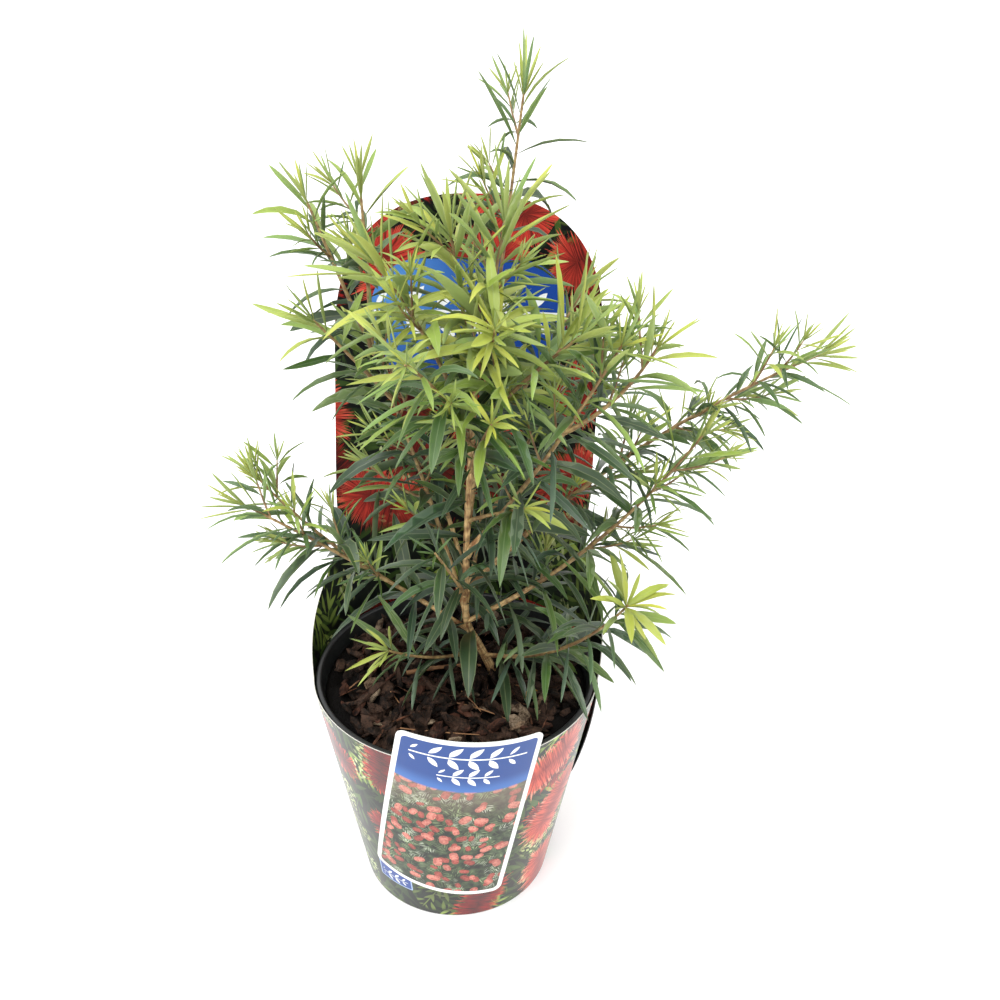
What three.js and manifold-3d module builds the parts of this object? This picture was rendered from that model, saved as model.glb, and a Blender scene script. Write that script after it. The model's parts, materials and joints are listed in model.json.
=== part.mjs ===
// A young bottlebrush shrub in its nursery pot, wrapped in a card sleeve with a tall back panel.
// Millimetres, +Z up. The origin is the middle of the pot's flat underside.
// One leaning trunk carries every bough. A shoot is a bent line that leaves its parent at a named
// place, heading and rise. Its first stretch is a bare limb, and the rest is the stem of a mass of
// foliage: twigs and leaves that follow a seeded rule and keep to the space round their own stem.
import * as THREE from 'three';
import { mergeVertices } from 'three/addons/utils/BufferGeometryUtils.js';
import Module from 'manifold-3d';

const wasm = await Module();
wasm.setup();

// ---------------------------------------------------------------- driving dimensions
const GAP = 0.3;

const SLEEVE_HEIGHT = 150;
const SLEEVE_BASE_RADIUS = 61;
const SLEEVE_TOP_RADIUS = 87;
const SLEEVE_LIFT = 0.4;
const SLEEVE_SIDES = 48;
const CARD = 0.8;
const FLARE = (SLEEVE_TOP_RADIUS - SLEEVE_BASE_RADIUS) / SLEEVE_HEIGHT;

const PANEL_HALF_WIDTH = 84.5;
const PANEL_TOP = 408;
const PANEL_ARCH_HEIGHT = 90;
const PANEL_ARCH_POWER = 2.5;
const PANEL_FULL_NARROW = 200;
const PANEL_FULL_FLAT = 225;
const PANEL_BOW = 6;
const PANEL_DRIFT = 0.025;
const SHEET_START_ANGLE = 100;

const LABEL_WIDTH = 83;
const LABEL_HEIGHT = 144;
const LABEL_TILT = 9.7;
const LABEL_SIDE = 1.3;
const LABEL_SLANT = 456.5;
const LABEL_CORNER = 5;

const LAP_FROM = 84;
const LAP_TO = 104;
const LAP_BOTTOM = 72;
const LAP_TOP = 146;
const LAP_SPRING = 3.2;

const POT_HEIGHT = 148.6;
const POT_WALL = 1.8;
const POT_CLEARANCE = 0.5;
const POT_FOOT_CHAMFER = 2;
const POT_FLOOR = 2.5;
const POT_RIM_BAND = 12;
const POT_RIM_STANDS_OUT = 1.6;
const POT_SIDES = 40;
const DRAIN_HOLES = 6;
const DRAIN_RADIUS = 4;
const DRAIN_RING = 44;

const SOIL_LEVEL = 138;
const SOIL_LUMP = 2.2;
const SOIL_SIDES = 28;
const CHIPS = 16;
const CHIP_REACH = 70;
const CHIP_FREE_OF_TRUNK = 17;

const TRUNK_FOOT_RADIUS = 3.6;
const TRUNK_TOP_RADIUS = 1.9;
const ROOT_FLARE = 2.2;
const ROOT_FLARE_HEIGHT = 9;
const TRUNK_PATH = [
  [23, 9, SOIL_LEVEL + GAP], [14, 7, 160], [6, 4, 182], [6, -3, 225], [8, -16, 280], [11.5, -31, 345],
];

const BOUGH_RADIUS = 1.1;
const BOUGH_RADIUS_PER_LENGTH = 1 / 400;
const SHOOT_TIP_RADIUS = 0.55;
const TWIG_FULLNESS = 1.15;

const GOLDEN_ANGLE = 137.5;
const LEAF_THICKNESS = 0.9;
const LEAF_FULLEST = 0.42;
const LEAF_ROOT_SUNK = 0.015;
const YOUNG_LENGTH = 62;
const YOUNG_SHOOT_LENGTH = 110;
const MATURE = { spacing: 20, width: 8.6, splay: 62, droop: 0.5 };
const YOUNG = { spacing: 12, length: 27, width: 5.6, splay: 26, droop: 0.06 };
const STAR_SPLAY = 58;
const TIP_LEAVES = 4;
const SPRIG = { length: 18, bare: 0.1, leaf: 20, star: 0.2, tipLeaves: 3 };
const SPRIG_SPLAY = 48;
const SPRIG_RADIUS = 0.9;
const SPRIG_LIFT = 0.35;
const FOLIAGE_SEED = 44;

// How far foliage stays from its neighbours' space, bare limbs, the card, the soil and the rim.
const SPACE_MARGIN = 2;
const LIMB_MARGIN = 2.6;
const CARD_MARGIN = 9;
const SOIL_MARGIN = 7;
const RIM_ZONE_RADIUS = 77;
const RIM_ZONE_TOP = 156;
const LABEL_ZONE_FRONT = -50;
const LABEL_ZONE_TOP = 184;
const TURN_TRIES = [0, 35, -35, 70, -70, 110, -110, 150];
const SHORTEN_TRIES = [1, 0.8, 0.62];

// Each shoot: parent, place on it (height above the soil on the trunk, otherwise the fraction of its
// length), length, heading and swing round Z from +X, rise and lift above level, the bare fraction,
// the length of its mature leaves, how many sprigs it carries, and how far its tip opens into a star
// (0 upright, 1 wide open). Angles are in degrees.
const SHOOTS = {
  leader: ['trunk', 206, 34, -81, 2, 66, 6, 0, 46, 0, 1],
  left_upright: ['trunk', 48, 176, 181, -30, 77, -13, 0.28, 54, 2, 0],
  left_top: ['left_upright', 0.97, 88, 99, 11, 75, 1, 0, 44, 1, 0],
  left_outer: ['left_upright', 0.95, 88, 169, -12, 67, -1, 0, 46, 1, 0],
  left_mid: ['left_upright', 0.8, 64, -163, 9, 52, -3, 0, 44, 0, 0.3],
  left_sprig: ['left_upright', 0.44, 46, 150, 3, 2, 30, 0, 38, 0, 0.3],
  right_upright: ['trunk', 97, 172, -43, 18, 51, 13, 0.2, 54, 2, 0.3],
  right_cluster: ['right_upright', 0.66, 66, -20, 20, 34, 30, 0, 42, 1, 0.3],
  right_far: ['trunk', 65, 246, 10, -15, 49, -21, 0.3, 46, 5, 0],
  right_low: ['trunk', 42, 190, -12, 7, 35, 24, 0.25, 50, 3, 0],
  left_low: ['trunk', 34, 160, -164, -9, 43, -10, 0.25, 50, 3, 0],
  left_low_upper: ['left_low', 0.41, 94, 173, 2, 31, 19, 0, 42, 1, 0],
  front_right: ['trunk', 15, 124, -35, 13, 16, 42, 0.25, 46, 0, 1],
  front_left: ['trunk', 20, 74, -133, -20, 10, 24, 0.25, 40, 0, 0.6],
  back_top: ['trunk', 109, 244, 77, -53, 61, 22, 0.25, 46, 3, 0],
  centre_back_left: ['trunk', 182, 98, 108, 20, 84, -13, 0, 50, 0, 0.2],
  centre_back_right: ['trunk', 196, 92, 47, 13, 78, -7, 0, 50, 0, 0.2],
  centre_left: ['trunk', 176, 103, 173, -3, 72, -21, 0, 52, 0, 0.2],
  front_high: ['trunk', 170, 94, -119, 5, 60, -27, 0, 52, 0, 0.8],
  centre_right: ['trunk', 180, 84, -26, 1, 52, -10, 0, 52, 0, 0.3],
  right_back: ['trunk', 146, 124, 50, -18, 44, 9, 0.2, 50, 1, 0],
  front_star: ['trunk', 154, 62, -76, 4, 51, -7, 0, 40, 0, 1],
  right_star: ['trunk', 120, 50, -44, -2, 32, -4, 0, 38, 0, 1],
  back_left: ['trunk', 78, 147, 116, 32, 50, 8, 0.25, 50, 1, 0.2],
  back_right: ['trunk', 90, 155, 54, -23, 40, 22, 0.25, 50, 1, 0.2],
  back_low: ['trunk', 52, 120, 76, 10, 42, 24, 0.25, 48, 0, 0.2],
  front_low: ['trunk', 62, 84, -93, -25, 42, 11, 0.2, 46, 0, 0.6],
};

const colour = (hex, roughness = 0.6, metalness = 0) =>
  new THREE.MeshStandardMaterial({ color: hex, roughness, metalness });
const MATERIALS = {
  pot: colour(0x17181a, 0.45),
  soil: colour(0x2b1a12, 0.95),
  card: colour(0x5e2a22, 0.35),
  label: colour(0xe9ebe6, 0.3),
  bark: colour(0x9a7a55, 0.85),
  leaf: colour(0x49683a, 0.5),
  youngLeaf: colour(0x9db85a, 0.5),
};

// ---------------------------------------------------------------- small helpers
const clamp01 = (x) => Math.min(1, Math.max(0, x));
const mix = (a, b, t) => a + (b - a) * t;
const smooth = (a, b, x) => {
  const t = clamp01((x - a) / (b - a));
  return t * t * (3 - 2 * t);
};
const radians = THREE.MathUtils.degToRad;

// A small seeded generator, so that the same plant grows every time.
function seeded(seed) {
  let state = seed | 0;
  return () => {
    state = (state + 0x6d2b79f5) | 0;
    let t = Math.imul(state ^ (state >>> 15), 1 | state);
    t = (t + Math.imul(t ^ (t >>> 7), 61 | t)) ^ t;
    return ((t ^ (t >>> 14)) >>> 0) / 4294967296;
  };
}

function direction(heading, rise) {
  const flat = Math.cos(radians(rise));
  return new THREE.Vector3(
    Math.cos(radians(heading)) * flat,
    Math.sin(radians(heading)) * flat,
    Math.sin(radians(rise)),
  );
}

// Moves every vertex of a closed stock geometry by a rule, and forgets what only shading needs.
function reshape(geometry, rule) {
  geometry.deleteAttribute('normal');
  geometry.deleteAttribute('uv');
  const merged = mergeVertices(geometry, 1e-4);
  const position = merged.getAttribute('position');
  const point = new THREE.Vector3();
  for (let i = 0; i < position.count; i += 1) {
    point.fromBufferAttribute(position, i);
    rule(point);
    position.setXYZ(i, point.x, point.y, point.z);
  }
  return merged;
}

function toSolid(geometry) {
  return new wasm.Manifold(new wasm.Mesh({
    numProp: 3,
    vertProperties: new Float32Array(geometry.getAttribute('position').array),
    triVerts: new Uint32Array(geometry.getIndex().array),
  }));
}

// The largest connected piece as a geometry: a loose scrap or a sealed hollow is left behind.
function toGeometry(solid) {
  const pieces = solid.decompose();
  const whole = pieces.reduce((best, piece) => (piece.volume() > best.volume() ? piece : best));
  const mesh = whole.getMesh();
  const geometry = new THREE.BufferGeometry();
  geometry.setAttribute('position', new THREE.BufferAttribute(new Float32Array(mesh.vertProperties), 3));
  geometry.setIndex(new THREE.BufferAttribute(new Uint32Array(mesh.triVerts), 1));
  return geometry;
}

// ---------------------------------------------------------------- pot, soil and sleeve
const sleeveRadius = (z) => SLEEVE_BASE_RADIUS + FLARE * z;
const potBandRadius = (z) => sleeveRadius(z) - CARD - POT_CLEARANCE;
const potWallRadius = (z) => potBandRadius(z) - POT_RIM_STANDS_OUT;
const potInnerRadius = (z) => potWallRadius(z) - POT_WALL;

function lathe(profile, segments) {
  const points = profile.map(([r, z]) => new THREE.Vector2(r, z));
  return reshape(new THREE.LatheGeometry(points, segments), (p) => p.set(p.z, p.x, p.y));
}

function potGeometry() {
  const bandFrom = POT_HEIGHT - POT_RIM_BAND;
  const profile = [
    [0, 0], [potWallRadius(0) - POT_FOOT_CHAMFER, 0], [potWallRadius(POT_FOOT_CHAMFER), POT_FOOT_CHAMFER],
    [potWallRadius(bandFrom), bandFrom],
    [potBandRadius(bandFrom), bandFrom + 1], [potBandRadius(POT_HEIGHT), POT_HEIGHT],
    [potInnerRadius(POT_HEIGHT), POT_HEIGHT], [potInnerRadius(POT_FLOOR), POT_FLOOR], [0, POT_FLOOR],
  ];
  let pot = toSolid(lathe(profile, POT_SIDES));
  for (let i = 0; i < DRAIN_HOLES; i += 1) {
    const angle = (i + 0.5) * 2 * Math.PI / DRAIN_HOLES;
    const drill = new THREE.CylinderGeometry(DRAIN_RADIUS, DRAIN_RADIUS, POT_FLOOR * 4, 8);
    drill.rotateX(Math.PI / 2);
    drill.translate(DRAIN_RING * Math.cos(angle), DRAIN_RING * Math.sin(angle), 0);
    pot = pot.subtract(toSolid(reshape(drill, () => {})));
  }
  return toGeometry(pot);
}

// The surface of the bark mulch: low lumps that die out at the pot's wall and round the trunk's foot.
function soilHeight(x, y) {
  const fromTrunk = Math.hypot(x - TRUNK_PATH[0][0], y - TRUNK_PATH[0][1]);
  const fromWall = potInnerRadius(SOIL_LEVEL) - Math.hypot(x, y);
  const calm = smooth(14, 30, fromTrunk) * smooth(0, 12, fromWall);
  const waves = Math.sin(x * 0.21 + 1.3) * Math.cos(y * 0.19) + Math.sin((x + y) * 0.37) * 0.6;
  return SOIL_LEVEL + SOIL_LUMP * waves * calm;
}

function barkChip(draw) {
  const length = mix(10, 19, draw());
  const chip = new THREE.BoxGeometry(length, length * mix(0.4, 0.65, draw()), mix(2.5, 4.5, draw()));
  const pinch = mix(0.5, 0.85, draw());
  const geometry = reshape(chip, (p) => {
    p.z *= p.y > 0 ? pinch : 1;
    p.y *= p.x > 0 ? pinch : 1;
  });
  geometry.rotateX(mix(-0.5, 0.5, draw()));
  geometry.rotateY(mix(-0.4, 0.4, draw()));
  geometry.rotateZ(draw() * Math.PI);
  return geometry;
}

function soilGeometry() {
  const low = POT_FLOOR + GAP;
  const wall = (z) => potInnerRadius(z) - GAP;
  const rings = [0.92, 0.74, 0.55, 0.36, 0.18];
  const profile = [[0, low], [wall(low), low], [wall(SOIL_LEVEL), SOIL_LEVEL]];
  rings.forEach((ring) => profile.push([wall(SOIL_LEVEL) * ring, SOIL_LEVEL]));
  profile.push([0, SOIL_LEVEL]);
  const bed = reshape(lathe(profile, SOIL_SIDES), (p) => {
    if (p.z > low + 1) p.z = soilHeight(p.x, p.y);
  });
  let soil = toSolid(bed);
  const draw = seeded(11);
  for (let i = 0; i < CHIPS; i += 1) {
    const angle = i * radians(GOLDEN_ANGLE);
    const reach = CHIP_REACH * Math.sqrt((i + 0.7) / CHIPS);
    const x = reach * Math.cos(angle);
    const y = reach * Math.sin(angle);
    const chip = barkChip(draw);
    if (Math.hypot(x - TRUNK_PATH[0][0], y - TRUNK_PATH[0][1]) < CHIP_FREE_OF_TRUNK) continue;
    chip.translate(x, y, soilHeight(x, y) + 0.4);
    soil = soil.add(toSolid(chip));
  }
  return toGeometry(soil);
}

function sleeveWrapGeometry() {
  const outer = (z) => [sleeveRadius(z), z];
  const inner = (z) => [sleeveRadius(z) - CARD, z];
  const low = SLEEVE_LIFT;
  const high = SLEEVE_HEIGHT;
  return lathe([inner(low), outer(low), outer(high), inner(high), inner(low)], SLEEVE_SIDES);
}

// Half the back sheet's width along the card at a height: from far round the pot's sides to the
// narrower panel, then in to nothing over the arch.
function sheetHalfWidth(z) {
  const atRim = radians(SHEET_START_ANGLE) * SLEEVE_TOP_RADIUS;
  const t = clamp01((z - SLEEVE_HEIGHT) / (PANEL_FULL_NARROW - SLEEVE_HEIGHT));
  const side = mix(atRim, PANEL_HALF_WIDTH, Math.sin(t * Math.PI / 2));
  const arch = clamp01((z - (PANEL_TOP - PANEL_ARCH_HEIGHT)) / PANEL_ARCH_HEIGHT);
  return side * (1 - arch ** PANEL_ARCH_POWER) ** (1 / PANEL_ARCH_POWER);
}

// A point of the back sheet: s along the card from its middle, out from its outer face, at a height.
function sheetPoint(s, out, z) {
  const radius = sleeveRadius(z) + out;
  const angle = s / sleeveRadius(z);
  const flat = smooth(SLEEVE_HEIGHT, PANEL_FULL_FLAT, z);
  const bowed = radius - PANEL_BOW * (s / PANEL_HALF_WIDTH) ** 2;
  const drift = PANEL_DRIFT * Math.max(0, z - PANEL_FULL_NARROW);
  return new THREE.Vector3(
    mix(radius * Math.sin(angle), s, flat) + drift,
    mix(radius * Math.cos(angle), bowed, flat),
    z,
  );
}

function backPanelGeometry() {
  const lowest = SLEEVE_HEIGHT + GAP;
  const highest = PANEL_TOP - 0.4;
  const sheet = new THREE.BoxGeometry(2, CARD, 1, 12, 1, 16);
  return reshape(sheet, (p) => {
    const z = mix(lowest, highest, Math.sin((p.z + 0.5) * Math.PI / 2));
    p.copy(sheetPoint(p.x * sheetHalfWidth(z), p.y - CARD / 2, z));
  });
}

// The label's card follows the cone: it is laid out flat on the unrolled sleeve, with its corners
// rounded off, and rolled up with it.
function labelGeometry() {
  const sheet = new THREE.BoxGeometry(1, 2, CARD, 10, 12, 1);
  const sinCone = FLARE / Math.hypot(FLARE, 1);
  const tilt = radians(LABEL_TILT);
  return reshape(sheet, (p) => {
    const high = LABEL_HEIGHT / 2 * Math.sin(p.y * Math.PI / 2);
    const intoCorner = Math.max(0, Math.abs(high) - (LABEL_HEIGHT / 2 - LABEL_CORNER));
    const trim = LABEL_CORNER - Math.sqrt(Math.max(0, LABEL_CORNER ** 2 - intoCorner ** 2));
    const wide = p.x * (LABEL_WIDTH - 2 * trim);
    const x = LABEL_SIDE + wide * Math.cos(tilt) + high * Math.sin(tilt);
    const y = LABEL_SLANT - wide * Math.sin(tilt) + high * Math.cos(tilt);
    const slant = Math.hypot(x, y);
    const angle = Math.atan2(x, y) / sinCone;
    const radius = slant * sinCone + GAP + CARD / 2 + p.z;
    const height = (slant * sinCone - SLEEVE_BASE_RADIUS) / FLARE;
    p.set(radius * Math.sin(angle), -radius * Math.cos(angle), height);
  });
}

// The sleeve's glued lap at the right, whose free edge springs away from the pot.
function lapGeometry() {
  const strip = new THREE.BoxGeometry(1, CARD, 1, 5, 1, 6);
  return reshape(strip, (p) => {
    const across = p.x + 0.5;
    const up = p.z + 0.5;
    const angle = radians(mix(LAP_TO, LAP_FROM, across));
    const z = mix(LAP_BOTTOM, LAP_TOP, up);
    const spring = LAP_SPRING * across ** 2 * Math.sin(up * Math.PI) ** 0.7;
    const radius = sleeveRadius(z) + GAP + CARD / 2 + p.y + spring;
    p.set(radius * Math.sin(angle), -radius * Math.cos(angle), z);
  });
}

// ---------------------------------------------------------------- stems
const TRUNK = new THREE.CatmullRomCurve3(
  TRUNK_PATH.map(([x, y, z]) => new THREE.Vector3(x, y, z)), false, 'catmullrom', 0.5);

function trunkParameter(height) {
  let low = 0;
  let high = 1;
  for (let i = 0; i < 40; i += 1) {
    const middle = (low + high) / 2;
    if (TRUNK.getPoint(middle).z < SOIL_LEVEL + height) low = middle;
    else high = middle;
  }
  return low;
}

function trunkRadius(t) {
  const height = TRUNK.getPoint(t).z - TRUNK_PATH[0][2];
  const flare = ROOT_FLARE * Math.exp(-height / ROOT_FLARE_HEIGHT * 2);
  return mix(TRUNK_FOOT_RADIUS, TRUNK_TOP_RADIUS, t ** 0.8) + flare;
}

// Frames that follow a curve without twisting: point, tangent and two sides at each step.
function framesAlong(curve, from, to, steps) {
  const frames = [];
  let side = new THREE.Vector3(1, 0, 0);
  for (let i = 0; i <= steps; i += 1) {
    const t = mix(from, to, i / steps);
    const tangent = curve.getTangent(t);
    if (i === 0 && Math.abs(tangent.x) > 0.8) side = new THREE.Vector3(0, 1, 0);
    side = side.clone().addScaledVector(tangent, -side.dot(tangent)).normalize();
    frames.push({ t, point: curve.getPoint(t), tangent, side, other: tangent.clone().cross(side) });
  }
  return frames;
}

// A tapering stem: a stock cylinder whose rings are set square on the frames of its path.
function stemGeometry(frames, radius, sides, levelFoot = false) {
  const steps = frames.length - 1;
  const stock = new THREE.CylinderGeometry(1, 1, steps, sides, steps);
  return reshape(stock, (p) => {
    const ring = Math.round(p.y + steps / 2);
    const { point, side, other, t } = frames[ring];
    const x = p.x * radius(t);
    const y = -p.z * radius(t);
    p.copy(point).addScaledVector(side, x).addScaledVector(other, y);
    if (levelFoot && ring === 0) p.z = TRUNK_PATH[0][2];
  });
}

class Shoot {
  constructor(name, row, grown) {
    const [parent, at, length, heading, swing, rise, lift, bare, leaf, sprigs, star] = row;
    Object.assign(this, { name, parent, length, bare, leaf, sprigs, star });
    const root = parent === 'trunk' ? TRUNK.getPoint(trunkParameter(at)) : grown[parent].curve.getPoint(at);
    const bend = root.clone().addScaledVector(direction(heading, rise), length / 2);
    const tip = bend.clone().addScaledVector(direction(heading + swing, rise + lift), length / 2);
    this.curve = new THREE.QuadraticBezierCurve3(root, bend, tip);
    this.mass = parent === 'trunk' ? name : grown[parent].mass;
    this.radius = (t) => mix(BOUGH_RADIUS + length * BOUGH_RADIUS_PER_LENGTH, SHOOT_TIP_RADIUS, t);
  }
}

const grown = {};
Object.entries(SHOOTS).forEach(([name, row]) => {
  grown[name] = new Shoot(name, row, grown);
});

const trunkFrames = framesAlong(TRUNK, 0, 1, 20);
const trunkSolid = toSolid(stemGeometry(trunkFrames, trunkRadius, 10, true));
const trunkRoom = toSolid(stemGeometry(trunkFrames, (t) => trunkRadius(t) + GAP, 10));

// A limb starts inside the trunk and is then cut back to stand just clear of it.
function boughGeometry(shoot) {
  const steps = Math.max(4, Math.round(shoot.length * shoot.bare / 9));
  const frames = framesAlong(shoot.curve, 0, shoot.bare, steps);
  return toGeometry(toSolid(stemGeometry(frames, shoot.radius, 8)).subtract(trunkRoom));
}

// ---------------------------------------------------------------- room for the foliage
// Points of every stem, with the mass that it belongs to. A bare limb is also an obstacle.
const stemPoints = [];
const obstacles = [];
Object.values(grown).forEach((shoot) => {
  const steps = Math.ceil(shoot.length / 3);
  for (let i = 0; i <= steps; i += 1) {
    const t = i / steps;
    const point = shoot.curve.getPoint(t);
    if (t >= shoot.bare) stemPoints.push({ point, mass: shoot.mass });
    else if (i > 1) obstacles.push({ point, reach: shoot.radius(t) + LIMB_MARGIN });
  }
});
for (let i = 0; i <= 80; i += 1) {
  obstacles.push({ point: TRUNK.getPoint(i / 80), reach: trunkRadius(i / 80) + LIMB_MARGIN });
}
for (let z = SLEEVE_HEIGHT; z < PANEL_TOP; z += 10) {
  const half = sheetHalfWidth(z);
  for (let s = -half; s <= half; s += 10) {
    obstacles.push({ point: sheetPoint(s, 0, z), reach: CARD_MARGIN });
  }
}

function isFree(point, mass) {
  const fromAxis = Math.hypot(point.x, point.y);
  if (point.z < SOIL_LEVEL + SOIL_MARGIN) return false;
  const zoneTop = point.y < LABEL_ZONE_FRONT ? LABEL_ZONE_TOP : RIM_ZONE_TOP;
  if (fromAxis > RIM_ZONE_RADIUS && point.z < zoneTop) return false;
  let own = Infinity;
  let other = Infinity;
  for (const stem of stemPoints) {
    const distance = stem.point.distanceTo(point);
    if (stem.mass === mass) own = Math.min(own, distance);
    else other = Math.min(other, distance);
  }
  if (own > other - SPACE_MARGIN) return false;
  return obstacles.every((obstacle) => obstacle.point.distanceTo(point) > obstacle.reach);
}

// ---------------------------------------------------------------- leaves, sprigs and masses
// A leaf's course: it leaves the stem at its splay and bends down by its droop. It lies across the
// plane that holds the stem.
function leafCourse(frame, turn, splay, length, droop) {
  const outward = frame.side.clone().multiplyScalar(Math.cos(radians(turn)))
    .addScaledVector(frame.other, Math.sin(radians(turn)));
  const start = frame.tangent.clone().multiplyScalar(Math.cos(radians(splay)))
    .addScaledVector(outward, Math.sin(radians(splay)));
  const end = start.clone().setZ(start.z - droop).normalize();
  const along = (f) => frame.point.clone().addScaledVector(start, length * (f - f * f / 2))
    .addScaledVector(end, length * f * f / 2);
  const across = start.clone().cross(frame.tangent).normalize();
  return { along, across, over: start.clone().cross(across) };
}

function leafGeometry(course, width) {
  const stock = new THREE.OctahedronGeometry(1);
  const heart = course.along(LEAF_FULLEST);
  const root = course.along(-LEAF_ROOT_SUNK);
  return reshape(stock, (p) => {
    const { x, y, z } = p;
    if (x > 0.5) p.copy(course.along(1));
    else if (x < -0.5) p.copy(root);
    else {
      p.copy(heart).addScaledVector(course.across, y * width / 2);
      p.addScaledVector(course.over, z * LEAF_THICKNESS / 2);
    }
  });
}

function leafFits(course, width, mass) {
  const heart = course.along(LEAF_FULLEST);
  const tip = course.along(1);
  const root = course.along(0);
  const tests = [0.4, 0.7, 1].map((f) => root.clone().lerp(heart, f));
  [0.25, 0.5, 0.75, 1].forEach((f) => tests.push(heart.clone().lerp(tip, f)));
  [-1, 1].forEach((edge) => {
    const rim = heart.clone().addScaledVector(course.across, edge * width / 2);
    tests.push(rim, rim.clone().lerp(tip, 0.4), rim.clone().lerp(root, 0.4));
  });
  return tests.every((point) => isFree(point, mass));
}

// Tries a leaf at its own turn and length first, then turned and shortened, and gives up if none fits.
function growLeaf(frame, turn, splay, length, width, droop, mass) {
  for (const shorten of SHORTEN_TRIES) {
    for (const nudge of TURN_TRIES) {
      const course = leafCourse(frame, turn + nudge, splay, length * shorten, droop);
      if (leafFits(course, width, mass)) return leafGeometry(course, width);
    }
  }
  return null;
}

// All leaves of one stem: wide-set and spreading on old wood, close and upright near the tip, where
// a star opens them out again.
function dressStem(stem, mass, draw) {
  const { curve, length, bare, leaf, star, tipLeaves } = stem;
  const leaves = [];
  const add = (t, turn, splay, size, width, droop) => {
    const frame = framesAlong(curve, 0, t, Math.max(2, Math.ceil(t * 20))).pop();
    const grownLeaf = growLeaf(frame, turn, splay, size, width, droop, mass);
    if (grownLeaf) leaves.push(grownLeaf);
  };
  const youngSplay = mix(YOUNG.splay, STAR_SPLAY, star);
  let turn = draw() * 360;
  let s = bare * length + 5;
  while (s < length - 3) {
    const youth = clamp01(1 - (length - s) / YOUNG_LENGTH);
    const size = mix(leaf, YOUNG.length, youth) * mix(0.85, 1.12, draw());
    const splay = mix(MATURE.splay, youngSplay, youth) + mix(-8, 8, draw());
    const width = mix(MATURE.width, YOUNG.width, youth);
    add(s / length, turn, splay, size, width, mix(MATURE.droop, YOUNG.droop, youth));
    turn += GOLDEN_ANGLE;
    s += mix(MATURE.spacing, YOUNG.spacing, youth);
  }
  for (let i = 0; i < tipLeaves; i += 1) {
    const splay = i === 0 ? 6 : youngSplay;
    add(0.985, turn + i * 90, splay, YOUNG.length * mix(0.7, 0.9, draw()), YOUNG.width, 0);
  }
  return leaves;
}

function sprigCurve(shoot, t, turn) {
  const frame = framesAlong(shoot.curve, 0, t, 12).pop();
  const course = leafCourse(frame, turn, SPRIG_SPLAY, SPRIG.length, -SPRIG_LIFT);
  return new THREE.QuadraticBezierCurve3(course.along(0), course.along(0.55), course.along(1));
}

function massGeometry(massName, seed) {
  const draw = seeded(seed);
  let solid = null;
  const fuse = (geometry) => {
    solid = solid ? solid.add(toSolid(geometry)) : toSolid(geometry);
  };
  Object.values(grown).filter((shoot) => shoot.mass === massName).forEach((shoot) => {
    const gap = shoot.bare > 0 ? GAP / shoot.length : 0;
    const steps = Math.ceil(shoot.length * (1 - shoot.bare) / 16);
    const frames = framesAlong(shoot.curve, shoot.bare + gap, 1, steps);
    const stem = stemGeometry(frames, (t) => TWIG_FULLNESS * shoot.radius(t), 3);
    const fromTrunk = shoot.parent === 'trunk' && shoot.bare === 0;
    fuse(fromTrunk ? toGeometry(toSolid(stem).subtract(trunkRoom)) : stem);
    dressStem({ ...shoot, tipLeaves: TIP_LEAVES }, massName, draw).forEach(fuse);
    for (let i = 0; i < shoot.sprigs; i += 1) {
      const t = mix(Math.max(shoot.bare, 0.25), 0.9, (i + draw()) / shoot.sprigs);
      const twig = sprigCurve(shoot, t, draw() * 360);
      if (![0.4, 0.7, 1].every((f) => isFree(twig.getPoint(f), massName))) continue;
      const taper = (f) => mix(SPRIG_RADIUS, SPRIG_RADIUS / 2, f);
      fuse(stemGeometry(framesAlong(twig, 0, 1, 2), taper, 3));
      dressStem({ ...SPRIG, curve: twig }, massName, draw).forEach(fuse);
    }
  });
  return toGeometry(solid);
}

// ---------------------------------------------------------------- the whole object
const plantInPot = new THREE.Group();

function place(name, geometry, material) {
  const mesh = new THREE.Mesh(geometry, material);
  mesh.name = name;
  plantInPot.add(mesh);
}

place('pot', potGeometry(), MATERIALS.pot);
place('soil', soilGeometry(), MATERIALS.soil);
place('sleeve_wrap', sleeveWrapGeometry(), MATERIALS.card);
place('sleeve_back_panel', backPanelGeometry(), MATERIALS.card);
place('sleeve_lap', lapGeometry(), MATERIALS.pot);
place('front_label', labelGeometry(), MATERIALS.label);
place('trunk', toGeometry(trunkSolid), MATERIALS.bark);

Object.values(grown).filter((shoot) => shoot.bare > 0).forEach((shoot) => {
  place(`${shoot.name}_bough`, boughGeometry(shoot), MATERIALS.bark);
});

Object.values(grown).filter((shoot) => shoot.parent === 'trunk').forEach((shoot, index) => {
  const material = shoot.length < YOUNG_SHOOT_LENGTH ? MATERIALS.youngLeaf : MATERIALS.leaf;
  place(`${shoot.name}_foliage`, massGeometry(shoot.name, FOLIAGE_SEED + index), material);
});

export default plantInPot;
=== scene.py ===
"""A young bottlebrush shrub in its nursery pot, wrapped in a printed card sleeve, dressed for rendering.

Laid out as an add-on: sizes and colours are scene properties, each group of pieces has an operator,
and one panel lists them. Run as a script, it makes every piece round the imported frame.
"""

import functools
import json
import math
from collections import namedtuple

import bmesh
import bpy
import numpy as np
from bpy.props import FloatProperty, FloatVectorProperty, IntProperty, PointerProperty
from mathutils import Matrix, Vector
from mathutils.kdtree import KDTree

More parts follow.
